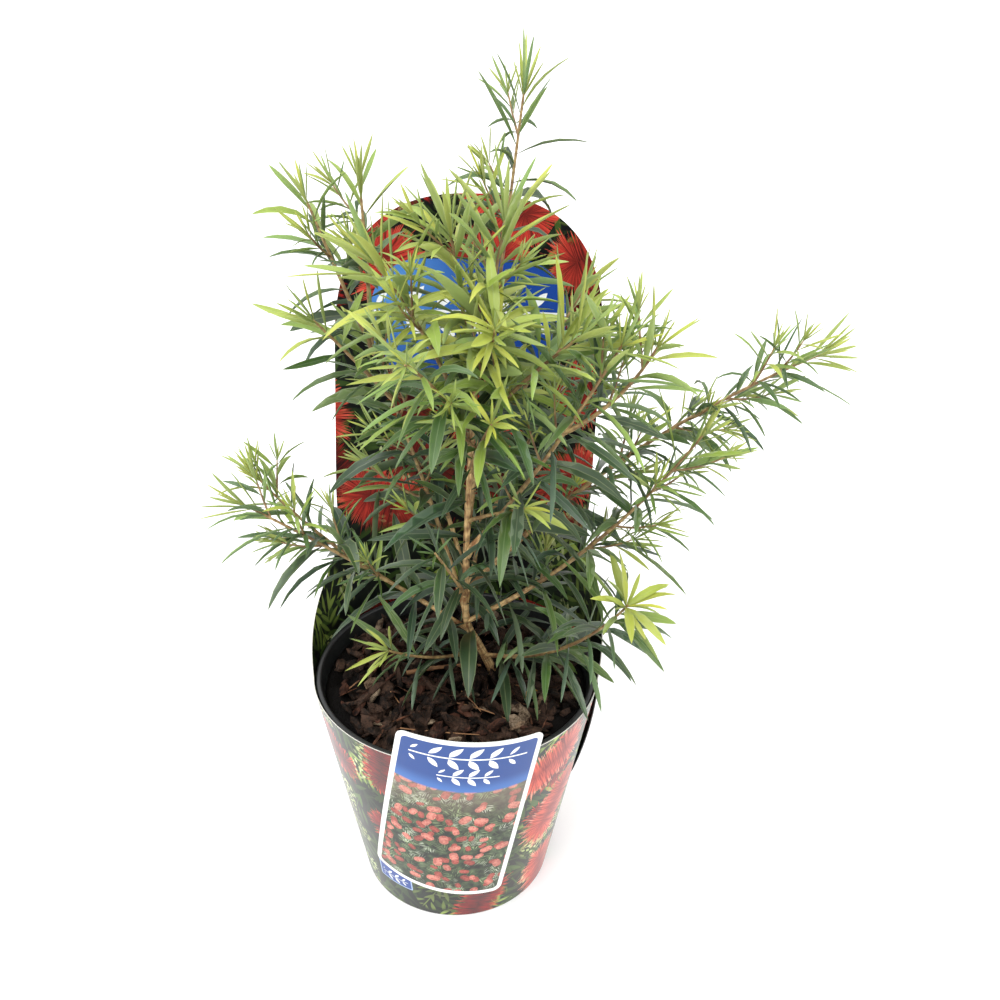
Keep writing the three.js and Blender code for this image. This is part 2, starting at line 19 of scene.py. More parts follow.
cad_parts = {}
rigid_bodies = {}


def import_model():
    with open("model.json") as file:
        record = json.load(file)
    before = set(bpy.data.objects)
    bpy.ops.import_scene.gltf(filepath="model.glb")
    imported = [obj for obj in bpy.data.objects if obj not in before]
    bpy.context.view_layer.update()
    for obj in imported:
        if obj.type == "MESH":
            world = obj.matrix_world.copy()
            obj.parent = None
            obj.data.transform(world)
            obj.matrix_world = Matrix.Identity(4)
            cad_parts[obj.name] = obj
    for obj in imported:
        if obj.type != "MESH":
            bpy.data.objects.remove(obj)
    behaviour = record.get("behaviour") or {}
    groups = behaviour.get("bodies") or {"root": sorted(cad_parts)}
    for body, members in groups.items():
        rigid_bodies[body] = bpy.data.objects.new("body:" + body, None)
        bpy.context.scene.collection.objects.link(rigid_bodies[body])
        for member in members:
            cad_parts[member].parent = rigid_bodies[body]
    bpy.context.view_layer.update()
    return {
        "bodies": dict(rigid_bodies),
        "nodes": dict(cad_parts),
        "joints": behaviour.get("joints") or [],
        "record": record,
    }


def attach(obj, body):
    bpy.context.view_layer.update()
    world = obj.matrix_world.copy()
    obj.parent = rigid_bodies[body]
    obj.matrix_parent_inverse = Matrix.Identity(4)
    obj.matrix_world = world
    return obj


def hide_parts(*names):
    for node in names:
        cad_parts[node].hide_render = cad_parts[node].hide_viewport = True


bl_info = {
    "name": "Potted bottlebrush",
    "version": (1, 0, 0),
    "blender": (4, 5, 0),
    "location": "3D View > Sidebar > Plant",
    "description": "A young bottlebrush shrub in a nursery pot with a printed card sleeve",
    "category": "Object",
}

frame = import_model()
BODY = next(iter(frame["bodies"]))
FOLIAGE_NODES = [name for name in frame["nodes"] if name.endswith("_foliage")]
MM = 0.001

# ---------------------------------------------------------------- sizes, in millimetres
SLEEVE_HEIGHT = 150
SLEEVE_BASE_RADIUS = 61
SLEEVE_TOP_RADIUS = 87
SLEEVE_LIFT = 0.4
FLARE = (SLEEVE_TOP_RADIUS - SLEEVE_BASE_RADIUS) / SLEEVE_HEIGHT
CONE = FLARE / math.hypot(FLARE, 1)
CARD = 0.6
CARD_GAP = 0.3

PANEL_HALF_WIDTH = 84.5
PANEL_TOP = 407.6
PANEL_ARCH_HEIGHT = 90
PANEL_ARCH_POWER = 2.5
PANEL_FULL_NARROW = 200
PANEL_FULL_FLAT = 225
PANEL_BOW = 6
PANEL_DRIFT = 0.025
SHEET_START_ANGLE = 100

LABEL_WIDTH = 83
LABEL_HEIGHT = 144
LABEL_TILT = 9.7
LABEL_SIDE = 1.3
LABEL_SLANT = 456.5
LABEL_CORNER = 5
LABEL_BORDER = 3.2

LAP_FROM = 84
LAP_TO = 104
LAP_BOTTOM = 72
LAP_TOP = 146
LAP_SPRING = 3.2
# How many points each sheet of card has across and up.
WRAP_GRID = (73, 41)
PANEL_GRID = (101, 91)
LABEL_GRID = (41, 73)
LAP_GRID = (25, 61)
CARD_SHARP = 40

POT_HEIGHT = 148.6
POT_WALL = 1.8
POT_CLEARANCE = 1.3
POT_FOOT_CHAMFER = 2
POT_FLOOR = 2.5
POT_RIM_BAND = 12
POT_RIM_STANDS_OUT = 1.6
POT_LIP = 1.1
DRAIN_HOLES = 6
DRAIN_RADIUS = 4
DRAIN_RING = 44
POT_SHARP = 35

SOIL_LEVEL = 138
SOIL_LUMP = 2.2
SOIL_RINGS = 36
SOIL_SEGMENTS = 96
CHIPS_INSET = 6
CHIP_LIFT = 0.006
CHIP_SIDES = 6
# The width of chips and splinters against their length, from least to most.
CHIP_WIDTHS = {"chip": (0.26, 0.58), "splinter": (0.03, 0.07)}
# The rings of a chip: height against its thickness, and width against its widest.
CHIP_LAYERS = ((-0.5, 0.78), (-0.1, 1.0), (0.25, 0.97), (0.5, 0.72))

TRUNK_FOOT_RADIUS = 2.8
TRUNK_TOP_RADIUS = 1.4
ROOT_FLARE = 0.8
ROOT_FLARE_HEIGHT = 9
FOOT_DEPTH = 5
TRUNK_LENGTH = 215
TRUNK_PATH = [(23, 9, 138.3), (14, 7, 160), (6, 4, 182), (6, -3, 225), (8, -16, 280), (11.5, -31, 345)]
# The bare part of the trunk, as heights above the soil, that leaves leave in sight of the front.
TRUNK_SHOWS = (30, 172)
TRUNK_CLEARING = 4.5
# From where the front is looked at.
EYE = np.array([25.0, -495.0, 530.0])
# Rings on the bare trunk, in millimetres above its foot.
TRUNK_RINGS = [7 + 6.5 * i + 2.4 * math.sin(4 * i) for i in range(6)]
BOUGH_RADIUS = 1.1
BOUGH_RADIUS_PER_LENGTH = 1 / 400
SHOOT_TIP_RADIUS = 0.55

GOLDEN_ANGLE = 137.5
YOUNG_LENGTH = 62
SHORT_SHOOT = 110
STAR_SPLAY = 58
# How far a grown leaf that starts downwards turns up towards the light, from not at all to level.
LIGHTWARD = 0.65
Age = namedtuple("Age", "spacing slimness splay droop")
MATURE = Age(4.4, 0.098, 64, 1.0)
YOUNG = Age(3.3, 0.086, 27, 0.2)
CROWN_SLIMNESS = 0.08
# The broad old leaves stand this near to the trunk; farther out they grow narrower.
INNER_SLIMNESS = 0.115
INNER_REACH = (40, 105)
STAR_SLIMNESS = 0.125
# Shoots that end in a rosette: how long their young part is, how slim and how many its leaves are, and
# how far they turn from the stem.
Rosette = namedtuple("Rosette", "young_length slimness leaves splay")
ROSETTES = {"leader": Rosette(30, 0.135, 14, 70), "front_right": Rosette(28, 0.15, 14, 64),
            "front_left": Rosette(26, 0.125, 8, 58), "front_star": Rosette(30, 0.115, 9, 62),
            "right_star": Rosette(28, 0.115, 8, 60), "front_high": Rosette(40, 0.1, 8, 58),
            "front_low": Rosette(24, 0.1, 5, 58)}
YOUNG_LEAF = 28
SPRIG_LENGTH = 27
# What the length of young leaves is multiplied by on these shoots, and the distance between leaves on
# others.
YOUNG_SIZES = {"leader": 1.6, "front_right": 1.35, "front_left": 1.1, "front_star": 0.85, "right_star": 0.8,
               "front_high": 0.8, "front_low": 0.8, "centre_left": 1.5, "centre_back_left": 1.55,
               "centre_back_right": 1.55, "centre_right": 1.5, "back_top": 1.3, "left_top": 1.05,
               "left_outer": 1.0, "left_mid": 1.1, "left_upright": 1.3}
CLOSENESS = {"leader": 0.8, "centre_left": 0.56, "centre_back_left": 0.54, "centre_back_right": 0.54,
             "centre_right": 0.55, "front_high": 0.9, "back_top": 1.25, "front_low": 1.2, "front_right": 0.5,
             "back_left": 1.6, "back_right": 1.3, "back_low": 1.4, "right_far": 1.1, "right_low": 1.15,
             "left_top": 1.2, "left_outer": 1.15, "left_mid": 1.1, "left_low": 1.15, "left_low_upper": 1.1}
AGEING = {"front_low": 0.08, "back_low": 0.3, "leader": 1.15, "left_upright": 0.85, "left_top": 0.85,
          "left_outer": 0.85, "left_mid": 0.9, "back_top": 0.8, "front_high": 0.85,
          "back_left": 0.3, "back_right": 0.3}
SLIMNESS = {"left_top": 0.13, "left_outer": 0.125, "back_top": 0.118, "leader": 0.1, "left_mid": 0.115}
# How far from their root some shoots are bare.
BARE_STEMS = {"left_upright": 58, "right_upright": 34, "back_left": 30, "back_right": 30}
# The green of the grown leaves on long outer shoots, against the old leaves at the trunk.
OUTER_FRESH = 0.12
FRESHNESS = {"left_top": 0.32, "left_outer": 0.34, "left_mid": 0.3, "left_upright": 0.2, "back_top": 0.36,
             "leader": 0.95, "front_high": 0.6}
CROWN_HEIGHT = 120
# How a leaf rolls about its root, twists along its length and folds up along its rib, from least to most.
LEAF_ROLL = (-0.9, 0.9)
LEAF_TWIST = (-1.1, 1.1)
LEAF_FOLD = (0.2, 0.62)
# What a leaf that has no room tries in turn: shorter lengths, and at each of them turns round the stem.
LEAF_SHORTER = (1, 0.8, 0.62)
LEAF_NUDGES = (0, 25, -25, 50, -50, 90, -90, 140)
# The least and the largest share of its length, its width and its distance that a leaf may have.
LENGTH_SPREAD = (0.8, 1.18)
WIDTH_SPREAD = (0.72, 1.4)
SPACING_SPREAD = (0.8, 1.2)
LOOSENESS = 12
SHOOT_SEED = 500
TRUNK_SEED = 91
SPRIG_SPLAY = 48
SPRIG_RADIUS = 0.7
# How sprigs and the trunk bear their leaves.
SPRIG_HABIT = {"leaf": 26, "slimness": MATURE.slimness, "spacing": 0.62, "bare_from": 2, "tip_leaves": 6,
               "young_length": 40, "young_size": 0.75, "star": 0.15, "star_slimness": STAR_SLIMNESS,
               "star_splay": STAR_SPLAY}
TRUNK_HABIT = {"length": 205, "leaf": 63, "slimness": 0.115, "spacing": 1.35, "bare_from": 48,
               "tip_leaves": 0, "young_length": 40, "young_size": 1.6, "star": 0,
               "star_slimness": STAR_SLIMNESS, "star_splay": STAR_SPLAY, "ageing": 1, "fresh": 0}
# How finely the bark's relief is drawn across and along a stem.
BARK_GRAIN = (1100.0, 1100.0, 190.0)
TWIG_GRAIN = (1100.0, 1100.0, 260.0)

KEY_PLACE = (-0.9, -1.1, 1.7)
KEY_SIZE = 1.3
DAYLIGHT_SPREAD = 50
DAYLIGHT_SLANT = (24, -14, 0)
SENSOR_WIDTH = 36.0
PLANT_MIDDLE = (0.02, 0.0, 0.22)
FLOOR_REACH = 90000.0
FLOOR_LEVEL = -0.3
WHITE = (1.0, 1.0, 1.0, 1.0)

# Each shoot, as in the solids: parent, place on it (height above the soil on the trunk, otherwise the
# fraction of its length), length, heading and swing round Z from +X, rise and lift above level, the
# bare fraction, the length of its mature leaves, its sprigs, and how far its tip opens into a star.
SHOOTS = {
    "leader": ("trunk", 206, 38, -50, 4, 63, 6, 0, 46, 0, 1),
    "left_upright": ("trunk", 48, 176, 181, -30, 77, -13, 0.28, 54, 2, 0),
    "left_top": ("left_upright", 0.97, 88, 99, 11, 75, 1, 0, 44, 1, 0),
    "left_outer": ("left_upright", 0.95, 88, 169, -12, 67, -1, 0, 46, 1, 0),
    "left_mid": ("left_upright", 0.8, 64, -163, 9, 52, -3, 0, 44, 0, 0.3),
    "left_sprig": ("left_upright", 0.44, 46, 150, 3, 2, 30, 0, 38, 0, 0.3),
    "right_upright": ("trunk", 97, 172, -43, 18, 51, 13, 0.2, 54, 2, 0.3),
    "right_cluster": ("right_upright", 0.66, 66, -20, 20, 34, 30, 0, 42, 1, 0.3),
    "right_far": ("trunk", 65, 246, 10, -15, 49, -21, 0.3, 46, 5, 0),
    "right_low": ("trunk", 42, 190, -12, 7, 35, 24, 0.25, 50, 3, 0),
    "left_low": ("trunk", 34, 160, -164, -9, 43, -10, 0.25, 50, 3, 0),
    "left_low_upper": ("left_low", 0.41, 94, 173, 2, 31, 19, 0, 42, 1, 0),
    "front_right": ("trunk", 15, 124, -35, 13, 16, 42, 0.25, 46, 0, 1),
    "front_left": ("trunk", 20, 74, -133, -20, 10, 24, 0.25, 40, 0, 0.6),
    "back_top": ("trunk", 109, 244, 77, -53, 61, 22, 0.25, 46, 3, 0),
    "centre_back_left": ("trunk", 182, 98, 108, 20, 84, -13, 0, 50, 0, 0.2),
    "centre_back_right": ("trunk", 196, 92, 47, 13, 78, -7, 0, 50, 0, 0.2),
    "centre_left": ("trunk", 176, 103, 173, -3, 72, -21, 0, 52, 0, 0.2),
    "front_high": ("trunk", 170, 94, -119, 5, 60, -27, 0, 44, 0, 0.5),
    "centre_right": ("trunk", 180, 84, -26, 1, 52, -10, 0, 52, 0, 0.3),
    "right_back": ("trunk", 146, 124, 50, -18, 44, 9, 0.2, 50, 1, 0),
    "front_star": ("trunk", 154, 62, -76, 4, 51, -7, 0, 40, 0, 1),
    "right_star": ("trunk", 120, 50, -44, -2, 32, -4, 0, 38, 0, 1),
    "back_left": ("trunk", 78, 147, 116, 32, 50, 8, 0.25, 50, 1, 0.2),
    "back_right": ("trunk", 90, 155, 54, -23, 40, 22, 0.25, 50, 1, 0.2),
    "back_low": ("trunk", 52, 120, 76, 10, 42, 24, 0.25, 48, 0, 0.2),
    "front_low": ("trunk", 62, 84, -93, -25, 42, 11, 0.2, 46, 0, 0.6),
}


# ---------------------------------------------------------------- small helpers
def linear(code):
    """A colour written as RRGGBB, as linear red, green, blue and alpha."""
    shares = [int(code[i:i + 2], 16) / 255 for i in (0, 2, 4)]
    return tuple(c / 12.92 if c <= 0.04045 else ((c + 0.055) / 1.055) ** 2.4 for c in shares) + (1.0,)


def mix(a, b, t):
    """The value that lies a fraction t of the way from a to b."""
    return a + (b - a) * t


def smooth(a, b, x):
    """Eases from 0 to 1 as x passes from a to b."""
    t = np.clip((x - a) / (b - a), 0, 1)
    return t * t * (3 - 2 * t)


def unit(v):
    """v at length 1."""
    return v / max(np.linalg.norm(v), 1e-12)


def turned(v, axis, angle):
    """v turned about a unit axis."""
    c, s = math.cos(angle), math.sin(angle)
    return v * c + np.cross(axis, v) * s + axis * (axis @ v) * (1 - c)


def seeded(seed):
    """The source's small seeded generator."""
    state, word = seed, 0xFFFFFFFF

    def draw():
        nonlocal state
        state = (state + 0x6D2B79F5) & word
        t = ((state ^ (state >> 15)) * (1 | state)) & word
        t = ((t + ((t ^ (t >> 7)) * (61 | t))) & word) ^ t
        return ((t ^ (t >> 14)) & word) / 4294967296

    return draw


def linked(name, data):
    """A new object in the scene."""
    thing = bpy.data.objects.new(name, data)
    bpy.context.scene.collection.objects.link(thing)
    return thing


def make_piece(name, points, faces, materials, kinds=None, smooth_shaded=True):
    """A mesh object from points in millimetres. kinds gives each face's place among the materials."""
    mesh = bpy.data.meshes.new(name)
    mesh.from_pydata((np.asarray(points, float) * MM).tolist(), [], faces)
    for material in materials:
        mesh.materials.append(material)
    if kinds is not None:
        mesh.polygons.foreach_set("material_index", np.asarray(kinds, np.int32))
    mesh.polygons.foreach_set("use_smooth", np.full(len(mesh.polygons), smooth_shaded))
    mesh.update()
    return linked(name, mesh)


def set_uv(piece, name, corners):
    """A UV map in metres from one (u, v) in millimetres for each face corner."""
    layer = piece.data.uv_layers.new(name=name, do_init=False)
    layer.uv.foreach_set("vector", (np.asarray(corners, np.float32) * MM).ravel())


def face_outwards(piece):
    """Merges doubles and turns the faces of a closed mesh outwards."""
    work = bmesh.new()
    work.from_mesh(piece.data)
    bmesh.ops.remove_doubles(work, verts=work.verts, dist=1e-7)
    bmesh.ops.recalc_face_normals(work, faces=work.faces)
    work.to_mesh(piece.data)
    work.free()


def sharpen(piece, degrees):
    """Marks the edges sharp where faces meet at more than an angle, so that the rest shades smoothly."""
    piece.data.set_sharp_from_angle(angle=math.radians(degrees))


def hand_over(piece, slot, *nodes):
    """The piece rides on the plant's one body and stands for its CAD nodes, which are hidden. slot is not
    used.
    """
    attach(piece, BODY)
    if nodes:
        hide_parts(*nodes)


def grid_faces(ids, closed=False):
    """Quads between the neighbouring rows and columns of a table of vertex numbers."""
    if closed:
        ids = np.hstack([ids, ids[:, :1]])
    quads = np.stack([ids[:-1, :-1], ids[:-1, 1:], ids[1:, 1:], ids[1:, :-1]], -1)
    return quads.reshape(-1, 4).tolist()


def baked(piece, modifier):
    """Replaces a piece's mesh by what its modifier makes, and removes the modifier."""
    bpy.context.view_layer.update()
    made = piece.evaluated_get(bpy.context.evaluated_depsgraph_get())
    mesh = bpy.data.meshes.new_from_object(made)
    mesh.name = piece.name
    piece.modifiers.remove(modifier)
    piece.data = mesh
    return piece


# ---------------------------------------------------------------- node helpers
def titled(key):
    """A socket's name from a key such as half_size."""
    return key.replace("_", " ").title()


class Value:
    """A value on its way through a node tree. Sums with it add the nodes that work them out."""

    def __init__(self, nodes, socket):
        self.nodes, self.socket = nodes, socket

    def math(self, operation, *others):
        return self.nodes.add("ShaderNodeMath", self, *others, operation=operation)

    def __rsub__(self, other):
        return self.nodes.add("ShaderNodeMath", other, self, operation="SUBTRACT")

    def __rtruediv__(self, other):
        return self.nodes.add("ShaderNodeMath", other, self, operation="DIVIDE")

    def vector(self, operation, *others, out=0):
        return self.nodes.add("ShaderNodeVectorMath", self, *others, operation=operation, out=out)

    def scaled(self, scale):
        return self.nodes.add("ShaderNodeVectorMath", self, operation="SCALE", named={"Scale": scale})

    def turned(self, angle):
        """A vector turned about Z."""
        return self.nodes.add("ShaderNodeVectorRotate", rotation_type="Z_AXIS",
                              named={"Vector": self, "Angle": angle})

    def split(self):
        node = self.nodes.add("ShaderNodeSeparateXYZ", self, out=None)
        return [Value(self.nodes, socket) for socket in node.outputs]

    def size(self):
        return self.vector("LENGTH", out=1)

    def ease(self, low, high, to_low=0.0, to_high=1.0):
        """Eases from to_low to to_high as the value passes from low to high."""
        return self.nodes.add("ShaderNodeMapRange", self, low, high, to_low, to_high,
                              interpolation_type="SMOOTHSTEP")

    def noise(self, scale, detail=2.0, roughness=0.5):
        return self.nodes.add("ShaderNodeTexNoise", named={
            "Vector": self, "Scale": scale, "Detail": detail, "Roughness": roughness})

    def cells(self, randomness):
        """The nearest cell point in two dimensions: the offset from it, and its random colour."""
        node = self.nodes.add("ShaderNodeTexVoronoi", out=None, voronoi_dimensions="2D", feature="F1",
                              named={"Vector": self, "Scale": 1.0, "Randomness": randomness})
        return self.vector("SUBTRACT", node.outputs["Position"]), Value(self.nodes, node.outputs["Color"])

    def blend(self, a, b, how="MIX"):
        """The value as the share of b in a mix of two colours."""
        return self.nodes.blend(self, a, b, how)

    def bump(self, strength, distance):
        return self.nodes.add("ShaderNodeBump", named={
            "Height": self, "Strength": strength, "Distance": distance})


# times takes a factor and what is added after it.
for key, operation in (
        ("__add__", "ADD"), ("__sub__", "SUBTRACT"), ("__mul__", "MULTIPLY"), ("__truediv__", "DIVIDE"),
        ("__abs__", "ABSOLUTE"), ("times", "MULTIPLY_ADD"), ("least", "MINIMUM"), ("most", "MAXIMUM"),
        ("above", "GREATER_THAN"), ("below", "LESS_THAN"), ("fraction", "FRACT")):
    setattr(Value, key, functools.partialmethod(Value.math, operation))


class Nodes:
    """Adds nodes to one tree. A Value or a socket is linked; anything else is set."""

    def __init__(self, tree, material=None):
        self.tree, self.material = tree, material

    def feed(self, socket, value):
        value = value.socket if isinstance(value, Value) else value
        if isinstance(value, bpy.types.NodeSocket):
            self.tree.links.new(value, socket)
        else:
            socket.default_value = value

    def add(self, kind, *values, out=0, named=None, **settings):
        node = self.tree.nodes.new(kind)
        for key, value in settings.items():
            setattr(node, key, value)
        for key, value in [*enumerate(values), *(named or {}).items()]:
            self.feed(node.inputs[key], value)
        return node if out is None else Value(self, node.outputs[out])

    def join(self, x, y, z=0.0):
        return self.add("ShaderNodeCombineXYZ", x, y, z)

    def blend(self, factor, a, b, how="MIX"):
        node = self.add("ShaderNodeMix", out=None, data_type="RGBA", blend_type=how)
        for place, value in ((0, factor), (6, a), (7, b)):
            self.feed(node.inputs[place], value)
        return Value(self, node.outputs[2])

    def place(self):
        """The place on the object."""
        return self.add("ShaderNodeTexCoord", out=3)

    def printed(self):
        """The place on the printed sheet."""
        return self.add("ShaderNodeUVMap", uv_map="print")

    def placed(self, group, **values):
        """Places a node group and gives its outputs by name."""
        node = self.add("ShaderNodeGroup", out=None, node_tree=group)
        for key, value in values.items():
            self.feed(node.inputs[titled(key)], value)
        return {socket.name: Value(self, socket) for socket in node.outputs}

    def finish(self, colour, roughness, normal=None, **shader):
        """Feeds the Principled BSDF and gives the material."""
        surface = self.add("ShaderNodeBsdfPrincipled", out=None)
        for key, value in {"Base_Color": colour, "Roughness": roughness, "Normal": normal, **shader}.items():
            if value is not None:
                self.feed(surface.inputs[key.replace("_", " ")], value)
        self.add("ShaderNodeOutputMaterial", surface.outputs[0], out=None)
        return self.material


def material_nodes(name):
    """The empty tree of a new material."""
    material = bpy.data.materials.new(name)
    material.use_nodes = True
    material.node_tree.nodes.clear()
    return Nodes(material.node_tree, material)


def node_group(name, outputs, family="Shader", **inputs):
    """Turns a function that lays nodes into one that gives their group, made once. Each input is its kind or
    its default, each output its kind."""
    def wrap(lay):
        def group():
            if name in bpy.data.node_groups:
                return bpy.data.node_groups[name]
            tree = bpy.data.node_groups.new(name, family + "NodeTree")
            for key, value in inputs.items():
                kind = value if isinstance(value, str) else "Vector" if isinstance(value, tuple) else "Float"
                socket = tree.interface.new_socket(name=titled(key), in_out="INPUT",
                                                   socket_type="NodeSocket" + kind)
                if not isinstance(value, str):
                    socket.default_value = value
            for key, kind in outputs.items():
                tree.interface.new_socket(name=key, in_out="OUTPUT", socket_type="NodeSocket" + kind)
            nodes = Nodes(tree)
            entry = nodes.add("NodeGroupInput", out=None)
            leaving = nodes.add("NodeGroupOutput", out=None)
            results = lay(nodes, *[Value(nodes, socket) for _, socket in zip(inputs, entry.outputs)])
            for key, value in zip(outputs, results):
                nodes.feed(leaving.inputs[key], value)
            return tree

        return group

    return wrap


# ---------------------------------------------------------------- shared patterns
@node_group("mottle", {"Colour": "Color", "Roughness": "Float", "Height": "Float"}, vector="Vector",
            scale=60.0, amount=1.0, grain=0.4, dark="Color", light="Color", base_roughness=0.5)
def mottle(nodes, vector, scale, amount, grain, dark, light, roughness):
    """Soft cloudy change of a colour, with a fine grain, a worn roughness and a height."""
    coarse = vector.noise(scale, 3)
    fine = vector.noise(scale * 14.0, 2)
    share = (coarse - 0.5).times(amount, 0.5)
    grainy = (fine - 0.5).times(grain, share)
    kept = nodes.add("ShaderNodeMath", grainy, 0.0, operation="ADD", use_clamp=True)
    return kept.blend(dark, light), (coarse - 0.5).times(0.25, roughness), fine.times(0.5, coarse)


@node_group("leafy_twigs", {"Mask": "Float", "Rib": "Float", "Shade": "Float", "Choice": "Float"},
            vector="Vector", patch=0.04, length=0.02, width=0.004, lean=0.6, seed="Vector")
def leafy_twigs(nodes, vector, patch, length, width, lean, seed):
    """Scattered leafy twigs: each patch holds rows of lance-shaped leaves on both sides of a stem."""
    offset, chosen = vector.scaled(1.0 / patch).vector("ADD", seed).cells(1.0)
    heading, shade, _ = chosen.split()
    x, y, _ = offset.scaled(patch).turned(heading * 25.0).split()
    side = abs(y)
    lx, ly, _ = nodes.join(x, side).turned(lean * -1.0).split()
    cell = (length * 1.05, width * 1.7)
    rows = nodes.join(lx / cell[0], ly / cell[1])
    away, random = rows.vector("ADD", chosen.scaled(30.0)).cells(0.55)
    tint, tilt, _ = random.split()
    dx, dy, _ = away.vector("MULTIPLY", nodes.join(*cell)).split()
    ax, ay, _ = nodes.join(dx, dy).turned(tilt.times(0.3, -0.15)).split()
    u = ax / (length * 0.5)
    v = abs(ay) / (width * 0.5)
    near = offset.size().ease(0.62, 0.4)
    blade = (1.0 - u * u - v).ease(0.0, 0.25) * near
    stem = side.ease(width * 0.22, 0.0)
    return blade.most(stem * near), v.ease(0.2, 0.02), tint.times(0.6, shade * 0.4), shade


@node_group("brush_flowers", {"Mask": "Float", "Colour": "Color"}, vector="Vector", spacing=0.05,
            radius=0.02, stretch=0.8, filaments=30.0, ruffle=1.0, sparse=0.0, deep="Color", bright="Color",
            tips="Color", seed="Vector")
def brush_flowers(nodes, vector, spacing, radius, stretch, filaments, ruffle, sparse, deep, bright, tips,
                  seed):
    """Scattered brush flowers: fine filaments that stand out from a short stem."""
    offset, random = vector.scaled(1.0 / spacing).vector("ADD", seed).cells(0.55)
    size, heading, light = random.split()
    reach = radius * size.times(0.5, 0.75)
    x, y, _ = offset.scaled(spacing).turned(heading * 25.0).split()
    half = reach * stretch
    on_stem = x.least(half).most(half * -1.0)
    away = nodes.join(x - on_stem, y)
    share = away.size() / reach
    along = nodes.join(on_stem / reach * filaments, heading * 50.0, share * 1.6)
    around = away.vector("NORMALIZE").scaled(filaments).vector("ADD", along)
    strand = around.noise(0.9, 2, 0.6)
    lock = around.noise(0.16, 2, 0.6)
    ragged = (strand - 0.5) * 1.5 + (lock - 0.5)
    mask = (ragged.times(ruffle, 0.78) - share).ease(-0.03, 0.06)
    lit = lock.times(0.45, share.times(0.12, strand))
    fibres = lit.ease(0.6, 0.92).blend(deep, bright)
    shaded = share.ease(0.45, 0.0, 0.0, 0.55).blend(fibres, deep)
    return mask * light.above(sparse), strand.times(1.4, share).ease(1.46, 1.62).blend(shaded, tips)


@node_group("rounded_plate", {"Distance": "Float"}, vector="Vector", half_size="Vector", corner=0.003)
def rounded_plate(nodes, vector, half_size, corner):
    """A rounded plate: its signed distance, below nothing inside."""
    x, y, _ = vector.split()
    half_x, half_y, _ = half_size.split()
    past_x, past_y = abs(x) - (half_x - corner), abs(y) - (half_y - corner)
    outside = nodes.join(past_x.most(0.0), past_y.most(0.0)).size()
    return (outside + past_x.most(past_y).least(0.0) - corner,)


@node_group("leaf_sprig", {"Mask": "Float"}, vector="Vector", pitch=0.01, half_length=0.03)
def leaf_sprig(nodes, vector, pitch, half):
    """A plain ornament: a level stem with paired leaves that shrink towards its ends."""
    x, y, _ = vector.split()
    beat = (x / pitch).fraction() - 0.5
    taper = (abs(x) / half).ease(1.0, 0.35, 0.45, 1.0)
    lx, ly, _ = nodes.join(beat.times(pitch, pitch * 0.25), abs(y) - pitch * 0.42).turned(-0.82).split()
    length = pitch * 0.52 * taper
    u = lx / length
    blade = (1.0 - u * u - abs(ly / (length * 0.36))).ease(0.0, 0.08)
    return (abs(x).below(half) * blade.most(abs(y).below(pitch * 0.045)),)


@node_group("bark_grain", {"Colour": "Color", "Height": "Float"}, stretch=(900.0, 900.0, 110.0),
            dark="Color", light="Color", scar_colour="Color", scars=0.8)
def bark_grain(nodes, stretch, dark, light, scar_colour, scars):
    """Fissured bark along the stem's own grain, darker at its leaf scars."""
    grain = nodes.add("ShaderNodeAttribute", out=1, attribute_name="grain")
    scar = nodes.add("ShaderNodeAttribute", out=2, attribute_name="scar")
    streaks = grain.vector("MULTIPLY", stretch).noise(1.0, 3, 0.65)
    share = (grain.noise(130.0, 2) - 0.5).times(0.9, streaks)
    colour = share.ease(0.3, 0.72).blend(dark, light)
    return (scar * scars).blend(colour, scar_colour), scar.times(-0.5, streaks)


def mottled_material(name, scale, amount, grain, dark, light, roughness, bump=None, tint=None, **shader):
    """A plain material whose colour, roughness and height drift softly. tint lays what multiplies its
    colour."""
    nodes = material_nodes(name)
    cloud = nodes.placed(mottle(), vector=nodes.place(), scale=scale, amount=amount, grain=grain, dark=dark,
                         light=light, base_roughness=roughness)
    colour = nodes.blend(1.0, cloud["Colour"], tint(nodes), "MULTIPLY") if tint else cloud["Colour"]
    return nodes.finish(colour, cloud["Roughness"], bump and cloud["Height"].bump(*bump), **shader)


def shaded(colour, share):
    """A colour made darker or lighter."""
    return tuple(min(1.0, c * share) for c in colour[:3]) + (1.0,)


# ---------------------------------------------------------------- printed card
# One layer of printed twigs: leaf length and width and patch size in metres, how sparse it is, its colours.
TwigLayer = namedtuple("TwigLayer", "length width patch sparse dark light")
# One layer of printed flowers: their distance and radius in metres, how long their stem is against the
# radius, how many filaments they have, how ragged and how sparse they are, and their colours.
BrushLayer = namedtuple("BrushLayer", "spacing radius stretch filaments ruffle sparse deep bright tips")
Print = namedtuple("Print", "twigs brushes ground seed")
ORNAMENT_WHITE = "E9ECEC"
# Where plates and ornaments lie, in millimetres: on the unrolled sleeve, on the panel from its middle and
# the table, and on the label from its middle. A plate has its centre and half its size, a sprig its
# centre, half its length and the distance of its leaves.
TAG_CENTRE = (-38.5, 386.0)
TAG_HALF = (12.5, 10.5)
TAG_TILT = -0.06
PANEL_PLATE = (-0.5, 333.0, 61.5, 36.0)
BAND_EDGE = 29.3
BAND_SAG = 4.6
LABEL_SPRIGS = (((0.0, 58.0), 33.1, 11.2), ((2.0, 42.5), 17.6, 8.8))
# Which of many layouts the printed pictures take.
SLEEVE_SEED = 21.0
PANEL_SEED = 8.0
LABEL_SEED = 5.0


